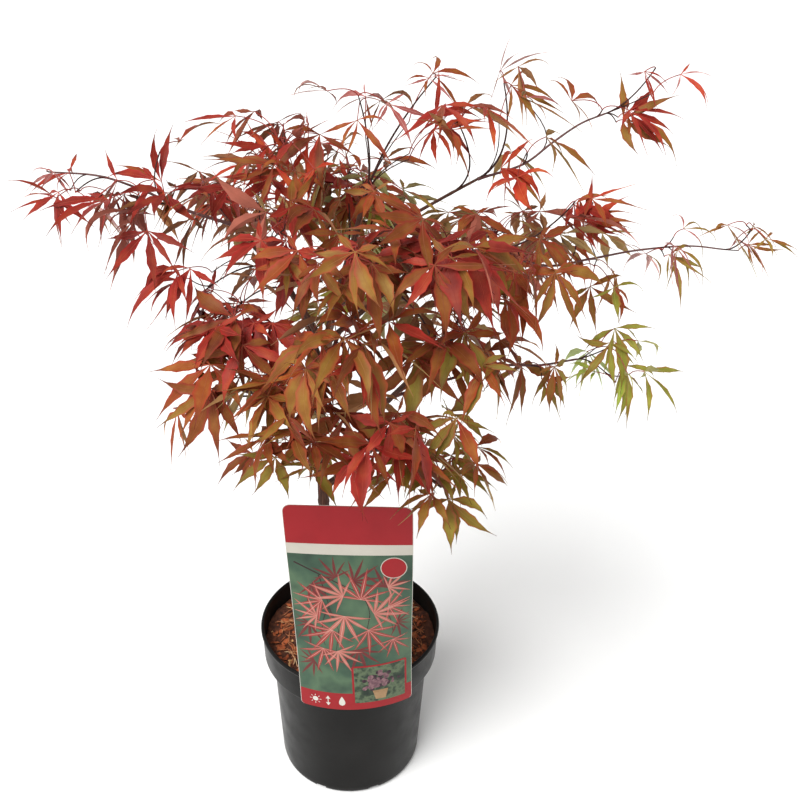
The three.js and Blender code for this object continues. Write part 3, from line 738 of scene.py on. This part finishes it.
def build_limbs(name, members, sides, spacing, ridge, material):
    shapes, places = zip(*[bark_tube(member, sides, spacing, ridge) for member in members])
    quads = [place[0] for place in places]
    fans = [fan for place in places for fan in place[1:]]
    build_piece(name, join_meshes(shapes), [material], members, uvs=np.concatenate(quads + fans),
                sharp=60)


boughs = [name for name in LIMBS if name.startswith("bough")]
shoots = [name for name in LIMBS if name.startswith("shoot")]
grey_bark = bark("young_grey_bark", ("#2e1810", "#48291c", "#664233"), 0.8, 0.5 * MM)
red_bark = bark("one_year_red_bark", ("#3d211d", "#593330", "#6e4640"), 0.6, 0.25 * MM)
build_limbs("trunk_bark", ["trunk"], 40, 1.5 * MM, 0.035, grey_bark)
build_limbs("bough_bark", boughs, 20, 2 * MM, 0.035, grey_bark)
build_limbs("shoot_bark", shoots, 14, 3 * MM, 0.02, red_bark)


# ---- Sprays: where the twigs and leaves grow ------------------------------------------------------
# Each foliage mass is a spray of opposite leaf pairs on twigs that fork from the nearest limb. The
# rule is the same for all, and each spray has its own tints, count, leaf size and habit.

# mass: (tints, leaves, form, middle lobe in mm, tilt below level in degrees, droop from 0 to 1)
SPRAYS = {
    "left_tip": ("rose crimson rose", 1, "thread", 35, 30, 0.5),
    "left_outer": ("crimson copper rose crimson", 4, "narrow", 45, 40, 0.6),
    "left_upper": ("crimson rust", 1, "three", 60, 20, 0.3),
    "left_mid": ("crimson wine rust crimson", 9, "narrow", 55, 40, 0.5),
    "left_inner": ("wine copper crimson rust", 9, "narrow", 50, 40, 0.45),
    "left_fringe": ("rust crimson copper", 3, "narrow", 55, 60, 0.6),
    "left_shoulder": ("crimson wine crimson copper", 14, "full", 55, 45, 0.4),
    "left_low": ("bronze copper rust orange", 8, "full", 60, 30, 0.35),
    "left_low_tip": ("rust bronze", 1, "narrow", 55, 50, 0.7),
    "foot_left": ("olive bronze olive copper", 7, "full", 45, 50, 0.4),
    "front_left_low": ("copper rust bronze copper", 11, "full", 45, 30, 0.35),
    "crest_left": ("crimson scarlet copper crimson rust", 17, "narrow", 50, 30, 0.4),
    "front_left": ("copper wine bronze crimson", 8, "full", 50, 45, 0.4),
    "heart_high": ("moss bronze olive rust", 6, "full", 45, 40, 0.4),
    "top_left": ("rust rose copper crimson", 4, "thread", 50, 30, 0.5),
    "top_arch": ("rose rust rose", 1, "thread", 45, 25, 0.6),
    "top_mid": ("rust scarlet crimson", 5, "narrow", 50, 35, 0.45),
    "top_right": ("rose bronze rose rust", 2, "thread", 50, 30, 0.6),
    "crest_right": ("rust scarlet bronze", 3, "narrow", 50, 35, 0.5),
    "front_centre": ("rust copper bronze crimson", 13, "full", 55, 45, 0.4),
    "front_right": ("copper wine crimson bronze", 13, "full", 60, 45, 0.4),
    "right_inner": ("rust bronze crimson copper", 10, "full", 55, 45, 0.45),
    "right_crest": ("scarlet crimson rust", 4, "narrow", 50, 10, 0.3),
    "right_under": ("olive rust moss bronze", 6, "narrow", 50, 50, 0.6),
    "front_centre_low": ("copper rust bronze crimson", 12, "full", 55, 50, 0.4),
    "heart_right": ("copper bronze rust olive", 16, "full", 55, 50, 0.45),
    "front_low": ("copper crimson rust bronze", 12, "full", 60, 55, 0.35),
    "front_low_right": ("bronze olive rust", 5, "full", 50, 45, 0.45),
    "foot_front": ("olive bronze olive rust", 11, "full", 45, 30, 0.4),
    "far_right": ("bronze olive rose", 3, "thread", 50, 50, 0.7),
    "far_right_tip": ("rose bronze olive", 4, "thread", 40, 35, 0.6),
    "green_low": ("moss lime olive moss", 4, "narrow", 50, 45, 0.5),
    "green_tip": ("lime moss lime", 3, "narrow", 45, 45, 0.6),
    "right_low_tip": ("bronze olive", 2, "full", 45, 50, 0.4),
    "upper_right": ("rust crimson bronze", 2, "narrow", 50, 30, 0.55),
    "upper_right_tip": ("crimson scarlet rose", 1, "thread", 40, 35, 0.7),
    "back_left": ("rust copper crimson bronze", 16, "full", 55, 45, 0.45),
    "back_high": ("copper rust crimson copper", 15, "full", 50, 35, 0.45),
    "back_centre": ("copper moss bronze olive", 20, "full", 55, 50, 0.45),
    "back_right": ("rust copper crimson bronze", 18, "full", 55, 45, 0.45),
    "back_low": ("olive moss copper olive", 14, "full", 50, 45, 0.45),
}
# how far a spray's heart lies from the middle of its mass, in half-sizes of the mass
SHIFTS = {
    "left_tip": (0.2, 0, 0.3), "left_outer": (0.1, 0, 0.55), "left_mid": (0.2, 0, 0.65),
    "left_inner": (0, 0, 0.2), "left_fringe": (0.5, 0, 0), "left_low": (0.6, 0, 0),
    "left_low_tip": (0.1, 0, 0.4), "foot_left": (0.7, 0, 0), "crest_left": (-0.2, 0, 0.05),
    "heart_high": (-0.2, 0.3, -0.4), "top_left": (-0.1, 0, 0.1), "top_mid": (0.4, 0, -0.1),
    "top_right": (-0.1, 0, 0.4), "crest_right": (0.4, 0, 0.3), "right_inner": (0.1, 0, -0.4),
    "right_crest": (-0.4, -0.3, 0.1), "right_under": (0.15, 0, 0.3), "heart_right": (-0.15, 0, -0.2),
    "front_low": (0, 0, -0.4), "front_low_right": (-0.4, 0, 0.1), "foot_front": (-0.45, 0, 0.7),
    "far_right": (0, 0, 0.9), "far_right_tip": (0, 0, 0.9), "green_low": (0.35, 0, 0.1),
    "green_tip": (-0.7, 0, 0.1), "right_low_tip": (-0.2, 0, 0.7), "upper_right": (-0.3, 0, 0.3),
    "upper_right_tip": (-0.7, 0, 0.6), "back_left": (0.2, 0.2, 0.3), "back_high": (-0.1, -0.2, -0.6),
    "back_centre": (0.1, -0.6, 0.1), "back_right": (0.3, 0.2, -0.7), "back_low": (0.3, 0, 0),
}
# sprays whose leaves all set out one way: heading in degrees from +X towards +Y
HEADINGS = {"left_low_tip": -110, "right_crest": -25, "upper_right_tip": -20}
# how a leaf that stands out of its spray is held: rise above level in degrees
STANCES = {"erect": 45, "level": -10, "hanging": -50}
# leaves that stand out of a spray on twigs of their own: (how many, stance)
STANDING_OUT = {
    "left_outer": (1, "hanging"), "left_upper": (1, "erect"), "left_fringe": (1, "hanging"),
    "left_low": (1, "level"), "crest_left": (1, "erect"), "top_left": (1, "level"),
    "top_arch": (1, "level"), "top_mid": (2, "level"), "top_right": (2, "hanging"),
    "crest_right": (1, "level"), "upper_right": (2, "level"), "upper_right_tip": (1, "level"),
    "right_crest": (2, "erect"), "far_right": (2, "hanging"), "far_right_tip": (1, "level"),
    "green_low": (1, "hanging"), "right_low_tip": (1, "hanging"),
}
# form: (lobe angles in degrees, lobe lengths as shares of the middle one, breadth over length)
FORMS = {
    "full": ((0, 35, -35, 72, -72, 114, -114), (1, 0.95, 0.95, 0.8, 0.8, 0.45, 0.45), 0.185),
    "narrow": ((0, 37, -37, 78, -78), (1, 0.93, 0.93, 0.7, 0.7), 0.143),
    "thread": ((0, 34, -34, 74, -74), (1, 0.9, 0.9, 0.6, 0.6), 0.088),
    "three": ((0, 28, -28), (1, 0.85, 0.85), 0.15),
}
GOLDEN_TURN = np.pi * (3 - np.sqrt(5))
DOWN = np.array([0, 0, -1.0])
# the way that leaves turn to face the light
TOWARDS_LIGHT = np.array([-0.57, -0.82, 0.9])
# twigs and stalks: radius in mm where they leave and at their ends
MAIN_TWIG, SIDE_TWIG, LONE_TWIG, STALK = (1.15, 0.6), (0.65, 0.5), (0.6, 0.45), (0.5, 0.42)
MAIN_STEPS, SIDE_STEPS = 14, 8

# the box that the lobes' tips stay in, and the limbs' points and directions for twigs to fork from
crown_low = np.array(cad_box[0]) - [20 * MM, 0, 0]
crown_high = np.array(cad_box[1]) + [20 * MM, 5 * MM, 4 * MM]
limb_paths = [smooth_path(points, 8 * MM)[0] for points, _ in LIMBS.values()]
limb_points = np.concatenate(limb_paths)
limb_headings = np.concatenate([frames_along(path[None])[0][0] for path in limb_paths])
twig_runs, stalk_runs, leaves = [], [], []


def bend(start, heading, end, steps, lead=0.45):
    """A twig's path: a parabola that sets out along the heading for a share of its length."""
    return parabola(start, start + heading * lead * np.linalg.norm(end - start), end, steps)


def fork_from(target, points, headings):
    """Where a twig to the target leaves a limb, as a point number: the nearest point, where one counts as
    further off if the target lies back along the limb or below it."""
    away = target - points
    far = np.maximum(np.linalg.norm(away, axis=1), 1e-6)
    ahead = (away * headings).sum(1) / far
    return (far * (2.6 - 1.6 * ahead) + 1.2 * np.maximum(0, -away[:, 2])).argmin()


def mass_box(name):
    """The middle and the half size of the foliage mass that a spray fills."""
    low, high = map(np.array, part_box("mass_" + name))
    return (low + high) / 2, (high - low) / 2


def heading_to(degrees):
    """A level direction from its angle from +X towards +Y."""
    return np.array([np.cos(np.radians(degrees)), np.sin(np.radians(degrees))])


def grow_spray(number, name):
    """Grows one spray. Leaf places turn by the golden angle through the upper part of the mass. Each two
    share a node, the twigs to the nodes fork from the spray's main twig, and that forks from a limb."""
    tints, count, form, lobe, tilt, droop = SPRAYS[name]
    middle, half = mass_box(name)
    one_way = name in HEADINGS
    seed = np.random.default_rng(100 + number)
    turn = np.arange(count) * GOLDEN_TURN + seed.uniform(0, 2 * np.pi)
    far = np.sqrt((np.arange(count) + 0.5) / count) * 0.82
    offset = np.stack([far * np.cos(turn), far * np.sin(turn), seed.uniform(-0.5, 0.75, count)], -1)
    middle = middle + half * np.array(SHIFTS.get(name, (0, 0, 0)))
    place = middle + half * offset * (0.5 if one_way else 1)
    heart = middle + half * np.array([0, 0, 0.1])
    root = fork_from(heart, limb_points, limb_headings)
    main = bend(limb_points[root], limb_headings[root], heart, MAIN_STEPS)
    thick = np.clip(np.linalg.norm(main[-1] - main[0]) / (90 * MM), 0.6, 1)
    twig_runs.append((main, MAIN_TWIG[0] * thick, MAIN_TWIG[1]))
    main_heading = frames_along(main[None])[0][0]
    for k in range(0, count, 2):
        pair = place[k:k + 2]
        node = heart + 0.5 * (pair.mean(0) - heart) + half * np.array([0, 0, 0.1])
        if k == 0:
            node = heart
        else:
            leave = fork_from(node, main[3:], main_heading[3:]) + 3
            twig_runs.append((bend(main[leave], main_heading[leave], node, SIDE_STEPS), *SIDE_TWIG))
        for i in range(k, min(k + 2, count)):
            ahead = unit(place[i, :2] - node[:2]) + 0.8 * unit(place[i, :2])
            if not name.startswith("back"):
                ahead = ahead + 0.4 * TOWARDS_LIGHT[:2]
            if one_way:
                ahead = heading_to(HEADINGS[name]) * 2
            ahead = unit(ahead + seed.normal(0, 0.45, 2))
            tipped = np.radians(tilt + seed.normal(0, 10 if one_way else 20))
            forward = np.array([*(ahead * np.cos(tipped)), -np.sin(tipped)])
            put_leaf(node, place[i], forward, form, tints, seed, lobe * seed.uniform(0.78, 1.15),
                     seed.normal(0, 30), np.clip(droop + seed.normal(0, 0.15), 0, 0.9))


def put_leaf(node, base, forward, form, tints, seed, lobe, roll, droop):
    """One leaf on its stalk, moved in so far that its lobes' tips stay inside the crown. A leaf takes one
    of its spray's tints, and a few of its lobes another."""
    angles, lengths, _ = FORMS[form]
    reach, _ = turned(forward, unit(np.cross(forward, -DOWN)), np.radians(angles))
    tips = base + reach * np.array(lengths)[:, None] * lobe * MM
    inward = np.clip(tips, crown_low, crown_high) - tips
    base = base + inward.max(axis=0) + inward.min(axis=0)
    rise = np.array([0, 0, 0.6]) + 0.4 * unit(base - node)
    stalk_runs.append((bend(node, rise, base, SIDE_STEPS, 0.5), *STALK))
    tints = np.array(tints.split())
    usual = seed.integers(len(tints))
    odd = seed.uniform(size=len(angles)) < 0.25
    lobe_tints = tints[np.where(odd, seed.integers(len(tints)), usual)]
    leaves.append({"tints": lobe_tints, "form": form, "at": base, "forward": forward, "lobe": lobe * MM,
                   "roll": np.radians(roll), "droop": droop, "seed": len(leaves)})


def grow_standing_out(number, name):
    """Leaves that stand out of a spray, each on its own twig from the nearest limb. Its middle lies half
    way from the mass's middle to the rim that faces away from the trunk: base = middle + half size / 2
    along the heading - lobe / 2 along the leaf. It rolls up to 60 degrees to face the light."""
    count, stance = STANDING_OUT[name]
    tints, _, form, lobe, _, droop = SPRAYS[name]
    middle, half = mass_box(name)
    seed = np.random.default_rng(500 + number)
    for _ in range(count):
        heading = np.arctan2(middle[1], middle[0]) + seed.normal(0, 0.5)
        climb = np.radians(STANCES[stance] + seed.normal(0, 12))
        level = np.array([np.cos(heading), np.sin(heading), 0])
        forward = level * np.cos(climb) - DOWN * np.sin(climb)
        base = middle + 0.5 * half * level - 0.5 * lobe * MM * forward
        root = fork_from(base, limb_points, limb_headings)
        node = base + 0.35 * (limb_points[root] - base) - [0, 0, 4 * MM]
        twig_runs.append((bend(limb_points[root], limb_headings[root], node, SIDE_STEPS), *LONE_TWIG))
        across = unit(np.cross(forward, -DOWN))
        face = np.cross(across, forward)
        roll = np.degrees(np.arctan2(-TOWARDS_LIGHT @ across, TOWARDS_LIGHT @ face))
        put_leaf(node, base, forward, form, tints, seed, lobe * seed.uniform(0.85, 1.15),
                 np.clip(roll, -60, 60), droop)


for number, name in enumerate(SPRAYS):
    grow_spray(number, name)
for number, name in enumerate(STANDING_OUT):
    grow_standing_out(number, name)


# ---- Twigs and leaf stalks -----------------------------------------------------------------------
# Twigs are this year's wood, about 2 mm thick where they leave the limb. Each leaf hangs on a thin
# round red stalk from its node.

def soft_red_wood(name, colours, roughness):
    # This year's shoots and leaf stalks: smooth, thin-skinned, slightly waxy.
    made = start_material(name, roughness, 1.45, specular=0.2)
    mottle(made, 14 * MM, colours)
    relief(made, 2 * MM, 0.08 * MM)
    return made.material


def tube_piece(name, runs, sides, material):
    """Tubes of like point counts are made together, and the counts are joined into one piece."""
    meshes = []
    for steps in sorted({len(path) for path, _, _ in runs}):
        same = [run for run in runs if len(run[0]) == steps]
        paths = np.stack([path for path, _, _ in same])
        share = np.linspace(0, 1, steps)[None]
        first, last = (np.array([[run[end]] for run in same]) for end in (1, 2))
        radii = first * (1 - share) + last * share
        meshes.append(round_tubes(paths, radii * MM, sides))
    build_piece(name, join_meshes(meshes), [material])


twig_wood = soft_red_wood("this_years_wood", ("#2a1513", "#3e221d", "#2f1916"), 0.5)
stalk_skin = soft_red_wood("leaf_stalk_skin", ("#6a2420", "#8a332c", "#9c463c"), 0.45)
tube_piece("twigs", twig_runs, 7, twig_wood)
tube_piece("leaf_stalks", stalk_runs, 5, stalk_skin)


# ---- Leaves --------------------------------------------------------------------------------------
# Palmate leaves cut almost to the stalk into three, five or seven saw-edged lobes with drawn-out tips.
# Each lobe is a thin closed blade folded along its rib, and gravity bends it over as it goes out.

# points along a lobe, and the rise of its edges over its half-width
STATIONS = 11
FOLD = 0.34
HALF_THICK = 0.17 * MM

# tint: (darker, usual, lighter, foot of the lobes, edge, underside, rib, slot)
TINTS = {
    "wine": ("#561a15", "#72231b", "#8a3a25", "#6a1917", "#8a2220", "#8e5044", "#8a3a2e", "leaf_crimson"),
    "crimson": ("#6e2019", "#8c2c20", "#a2492c", "#7c1b1a", "#9c2422", "#a05c4c", "#a04434", "leaf_crimson"),
    "scarlet": ("#84291a", "#a43822", "#b95a30", "#92221c", "#b42e26", "#b06a50", "#b4543a", "leaf_scarlet"),
    "rose": ("#7e403c", "#95544e", "#aa7670", "#8c3a36", "#a04846", "#ba908a", "#ba807a", "leaf_crimson"),
    "orange": ("#93461e", "#a85c26", "#b9783a", "#9c3a20", "#b03c28", "#b28656", "#b46a3a", "leaf_rust"),
    "rust": ("#742e19", "#8a4720", "#9e6530", "#80281c", "#9c3026", "#a07048", "#985438", "leaf_rust"),
    "copper": ("#5e2717", "#753f1c", "#8c582b", "#70221a", "#8c2c24", "#8a5e42", "#824832", "leaf_copper"),
    "bronze": ("#6c3c1c", "#805724", "#937032", "#80321e", "#983a28", "#967a4e", "#8e6238", "leaf_copper"),
    "olive": ("#6a5522", "#826e2c", "#96863a", "#7c4e26", "#94442c", "#908458", "#8c703c", "leaf_olive"),
    "moss": ("#70722a", "#888634", "#a09c44", "#847634", "#9c5c36", "#a4a068", "#9c904a", "leaf_green"),
    "lime": ("#82923a", "#9aaa42", "#b2be58", "#98a848", "#a8884a", "#aebb80", "#b0c070", "leaf_green"),
}


def leaf_lobes(group):
    """The lobes of the leaves of one form: (centre line, face, side, half-width) along each lobe.
    A lobe sets out in the leaf's plane at its own angle, and its direction turns down and sways with
    the distance out. Its half-width is a sine of that distance, raised so that both ends draw out thin."""
    angles, lengths, breadth = FORMS[group[0]["form"]]
    lobes = len(angles)
    at, forward = (np.array([leaf[key] for leaf in group]) for key in ("at", "forward"))
    lobe, droop, roll = (np.array([leaf[key] for leaf in group]) for key in ("lobe", "droop", "roll"))
    level = unit(np.cross(forward, -DOWN))
    normal = unit(np.cross(level, forward))
    level, normal = turned(level, normal, roll)
    wild = np.stack([np.random.default_rng(leaf["seed"]).normal(0, 1, (lobes, 7)) for leaf in group])
    angle = np.radians(angles) + 0.15 * wild[..., 0]
    length = (lobe[:, None] * np.array(lengths) * (1 + 0.12 * np.clip(wild[..., 1], -2, 1.2))).reshape(-1)
    out, _ = turned(forward[:, None], level[:, None], angle)
    out = unit(out + (0.05 + 0.3 * wild[..., 2])[..., None] * normal[:, None])
    s = np.linspace(0, 1, STATIONS)
    pull = (droop[:, None] * np.clip(1 + 0.35 * wild[..., 3], 0.2, 1.8))[..., None] * s ** 1.5
    sway = (0.42 * wild[..., 4])[..., None] * s
    sideways = unit(np.cross(normal[:, None], out))
    direction = (out[:, :, None] * (1 - pull[..., None]) + pull[..., None] * DOWN
                 + sway[..., None] * sideways[:, :, None])
    direction = unit(direction).reshape(-1, STATIONS, 3)
    steps = direction[:, :-1] * (length / (STATIONS - 1))[:, None, None]
    centre = np.concatenate([np.zeros((len(length), 1, 3)), np.cumsum(steps, axis=1)], axis=1)
    centre += np.repeat(at, lobes, axis=0)[:, None]
    face = np.repeat(normal, lobes, axis=0)[:, None]
    face = unit(face - (face * direction).sum(-1, keepdims=True) * direction)
    twist = (0.7 * wild[..., 5]).reshape(-1, 1) * s ** 1.3
    face, side = turned(face, np.cross(direction, face), twist)
    teeth = 1 + 0.11 * np.where(np.arange(STATIONS) % 2, 1, -1)
    outline = np.sin(np.pi * np.clip(s, 0.02, 0.99) ** 0.8) ** 2.5 * teeth
    broad = breadth * np.clip(1 + 0.2 * wild[..., 6], 0.65, 1.45).reshape(-1)
    half = (broad * length / 2)[:, None] * outline + 0.13 * MM
    return centre, face, side, half[..., None]


def blades(centre, face, side, half):
    """Each lobe as a thin lens of four points across: rib, edge, underside, edge. The edges are lifted by
    the fold."""
    lift = face * FOLD * half
    return np.stack([centre + face * HALF_THICK, centre + side * half + lift,
                     centre - face * HALF_THICK, centre - side * half + lift], axis=2)


def split_blades(faces):
    """Cuts the quads of four-point blades into triangles, alike above and below: each cut runs from an
    edge to the middle one station further, so that the thin blade's two skins never cross."""
    quads = faces[0].reshape(-1, 4, 4)
    above_first, below_first = quads[:, 0::2], quads[:, 1::2]
    cut = np.stack([above_first[..., [0, 1, 3]], above_first[..., [1, 2, 3]],
                    below_first[..., [0, 1, 2]], below_first[..., [0, 2, 3]]], axis=2)
    return [cut.reshape(-1, 3), *faces[1:]]


def ribs(centre, face, side):
    """Each lobe's rib as a fine three-cornered thread that stands on the upper face, thinning to the tip."""
    keep = slice(0, STATIONS - 1)
    thin = np.linspace(0.3, 0.1, STATIONS - 1)[:, None] * MM
    top, up, across = (centre + face * HALF_THICK)[:, keep], face[:, keep], side[:, keep]
    return np.stack([top + up * 0.16 * MM, top + across * thin, top - across * thin], axis=2)


def shade(hex_colour, factor):
    """The same colour, darker or lighter by a factor on each channel."""
    values = [min(255, int(int(hex_colour[i:i + 2], 16) * factor)) for i in (1, 3, 5)]
    return "#" + "".join(f"{value:02x}" for value in values)


def tinge(tree, tint, across, start, end, low, high, colour):
    """Mixes a colour into the tint, by a share that goes from low to high as across goes from start to
    end."""
    share = spread(tree, across, start, end, low, high)
    return add(tree, "Mix", {0: share, 6: tint, 7: linear(colour)}, data_type="RGBA").outputs[2]


def leaf_skin(name, darker, usual, lighter, foot, edge):
    # A thin living leaf: a satin cuticle over colour that shifts from leaf to leaf, turns redder round
    # the stalk and at the saw teeth, and darkens to wine at the drawn-out tips.
    made = start_material(name, 0.48, 1.42, specular=0.16)
    tree = made.tree
    blade = add(tree, "SeparateXYZ", {0: add(tree, "UVMap", uv_map="along").outputs["UV"]})
    from_rib, from_stalk = blade.outputs["X"], blade.outputs["Y"]
    tint = mottle(made, 26 * MM, (darker, usual, lighter), detail=6.0)
    tint = tinge(tree, tint, from_stalk, 0.06, 0.4, 0.85, 0.0, foot)
    tint = tinge(tree, tint, from_rib, 0.5, 1.0, 0.0, 0.75, edge)
    tint = tinge(tree, tint, from_stalk, 0.68, 0.95, 0.0, 0.85, shade(edge, 0.5))
    tree.links.new(tint, made.shader.inputs["Base Color"])
    relief(made, 3 * MM, 0.3 * MM, detail=4.0)
    return made.material


def plain_skin(name, colour, roughness):
    # The dull, paler underside and the raised rib of the same leaf.
    made = start_material(name, roughness, 1.4, specular=0.15)
    mottle(made, 30 * MM, (shade(colour, 0.9), colour, shade(colour, 1.1)))
    return made.material


masses_of = {}
for name, (tints, *_) in SPRAYS.items():
    masses_of.setdefault(tints.split()[0], []).append("mass_" + name)
groups = [[leaf for leaf in leaves if leaf["form"] == form] for form in FORMS]
all_lobes = [(leaf_lobes(group), np.concatenate([leaf["tints"] for leaf in group])) for group in groups]
along = np.linspace(0, 1, STATIONS)[:, None] * np.ones(4)
across = np.maximum([0, 1, 0, 1], np.clip(along * 5 - 4, 0, 1))
blade_map = np.concatenate([np.stack([across, along], -1).reshape(-1, 2), [[0, 0], [1, 1]]])
for tint, (darker, usual, lighter, foot, edge, under, rib, slot) in TINTS.items():
    lobes = [[part[tints == tint] for part in group] for group, tints in all_lobes]
    rings = np.concatenate([blades(*lobe) for lobe in lobes])
    count = len(rings)
    points, faces = tube_mesh(rings)
    under_side = np.broadcast_to([0, 0, 1, 1, 1, 1, 0, 0], (count, STATIONS - 1, 8)).ravel()
    kinds = np.concatenate([under_side, np.zeros(count * 8, int)])
    skins = [leaf_skin(tint + "_leaf", darker, usual, lighter, foot, edge),
             plain_skin(tint + "_underside", under, 0.6)]
    build_piece("leaves_" + tint, (points, split_blades(faces)), skins, masses_of.get(tint, ()), kinds,
                np.tile(blade_map, (count, 1)))
    threads = tube_mesh(np.concatenate([ribs(*lobe[:3]) for lobe in lobes]))
    build_piece("ribs_" + tint, threads, [plain_skin(tint + "_rib", rib, 0.5)])


# ---- Floor, light and camera ---------------------------------------------------------------------
# A wide white studio floor under an even white sky, one broad soft sun from the upper left, and a
# camera that looks down on the plant from in front.

def matt_white():
    # Painted studio floor: matt, all but white.
    made = start_material("matt_white_floor", 0.9)
    mottle(made, 0.8, ("#f7f7f6", "#fbfbfa"))
    return made.material


def make_floor():
    """A square 60 m across, 0.2 mm below the pot's foot."""
    mesh = bpy.data.meshes.new("studio_floor")
    corners = [(x, y, -0.2 * MM) for x, y in ((-30, -30), (30, -30), (30, 30), (-30, 30))]
    mesh.from_pydata(corners, [], [(0, 1, 2, 3)])
    mesh.materials.append(matt_white())
    place_object("studio_floor", mesh)


def make_light():
    """An even sky that is brightest at the horizon, where it meets the white floor, and a broad sun."""
    scene = bpy.context.scene
    scene.view_settings.view_transform = "Standard"
    world = bpy.data.worlds.new("studio_sky")
    world.use_nodes = True
    tree = world.node_tree
    rise = add(tree, "SeparateXYZ", {0: add(tree, "TexCoord").outputs["Generated"]}).outputs["Z"]
    sky = tree.nodes["Background"]
    tree.links.new(spread(tree, rise, 0.02, 0.5, 1.0, 0.46), sky.inputs["Strength"])
    sky.inputs["Color"].default_value = (1, 1, 1, 1)
    scene.world = world
    sun = place_object("soft_sun", bpy.data.lights.new("soft_sun", "SUN"))
    sun.data.energy = 3.6
    sun.data.angle = np.radians(40)
    sun.rotation_euler = (np.radians(40), 0, np.radians(-35))


def make_camera():
    eye = place_object("camera", bpy.data.cameras.new("camera"))
    eye.data.lens = 45
    eye.data.sensor_width = 36
    look = Matrix.Rotation(np.radians(60.7), 4, "X") @ Matrix.Rotation(np.radians(1.4), 4, "Z")
    eye.matrix_world = Matrix.Translation((47.2 * MM, -817 * MM, 909.1 * MM)) @ look
    bpy.context.scene.camera = eye


make_floor()
make_light()
make_camera()
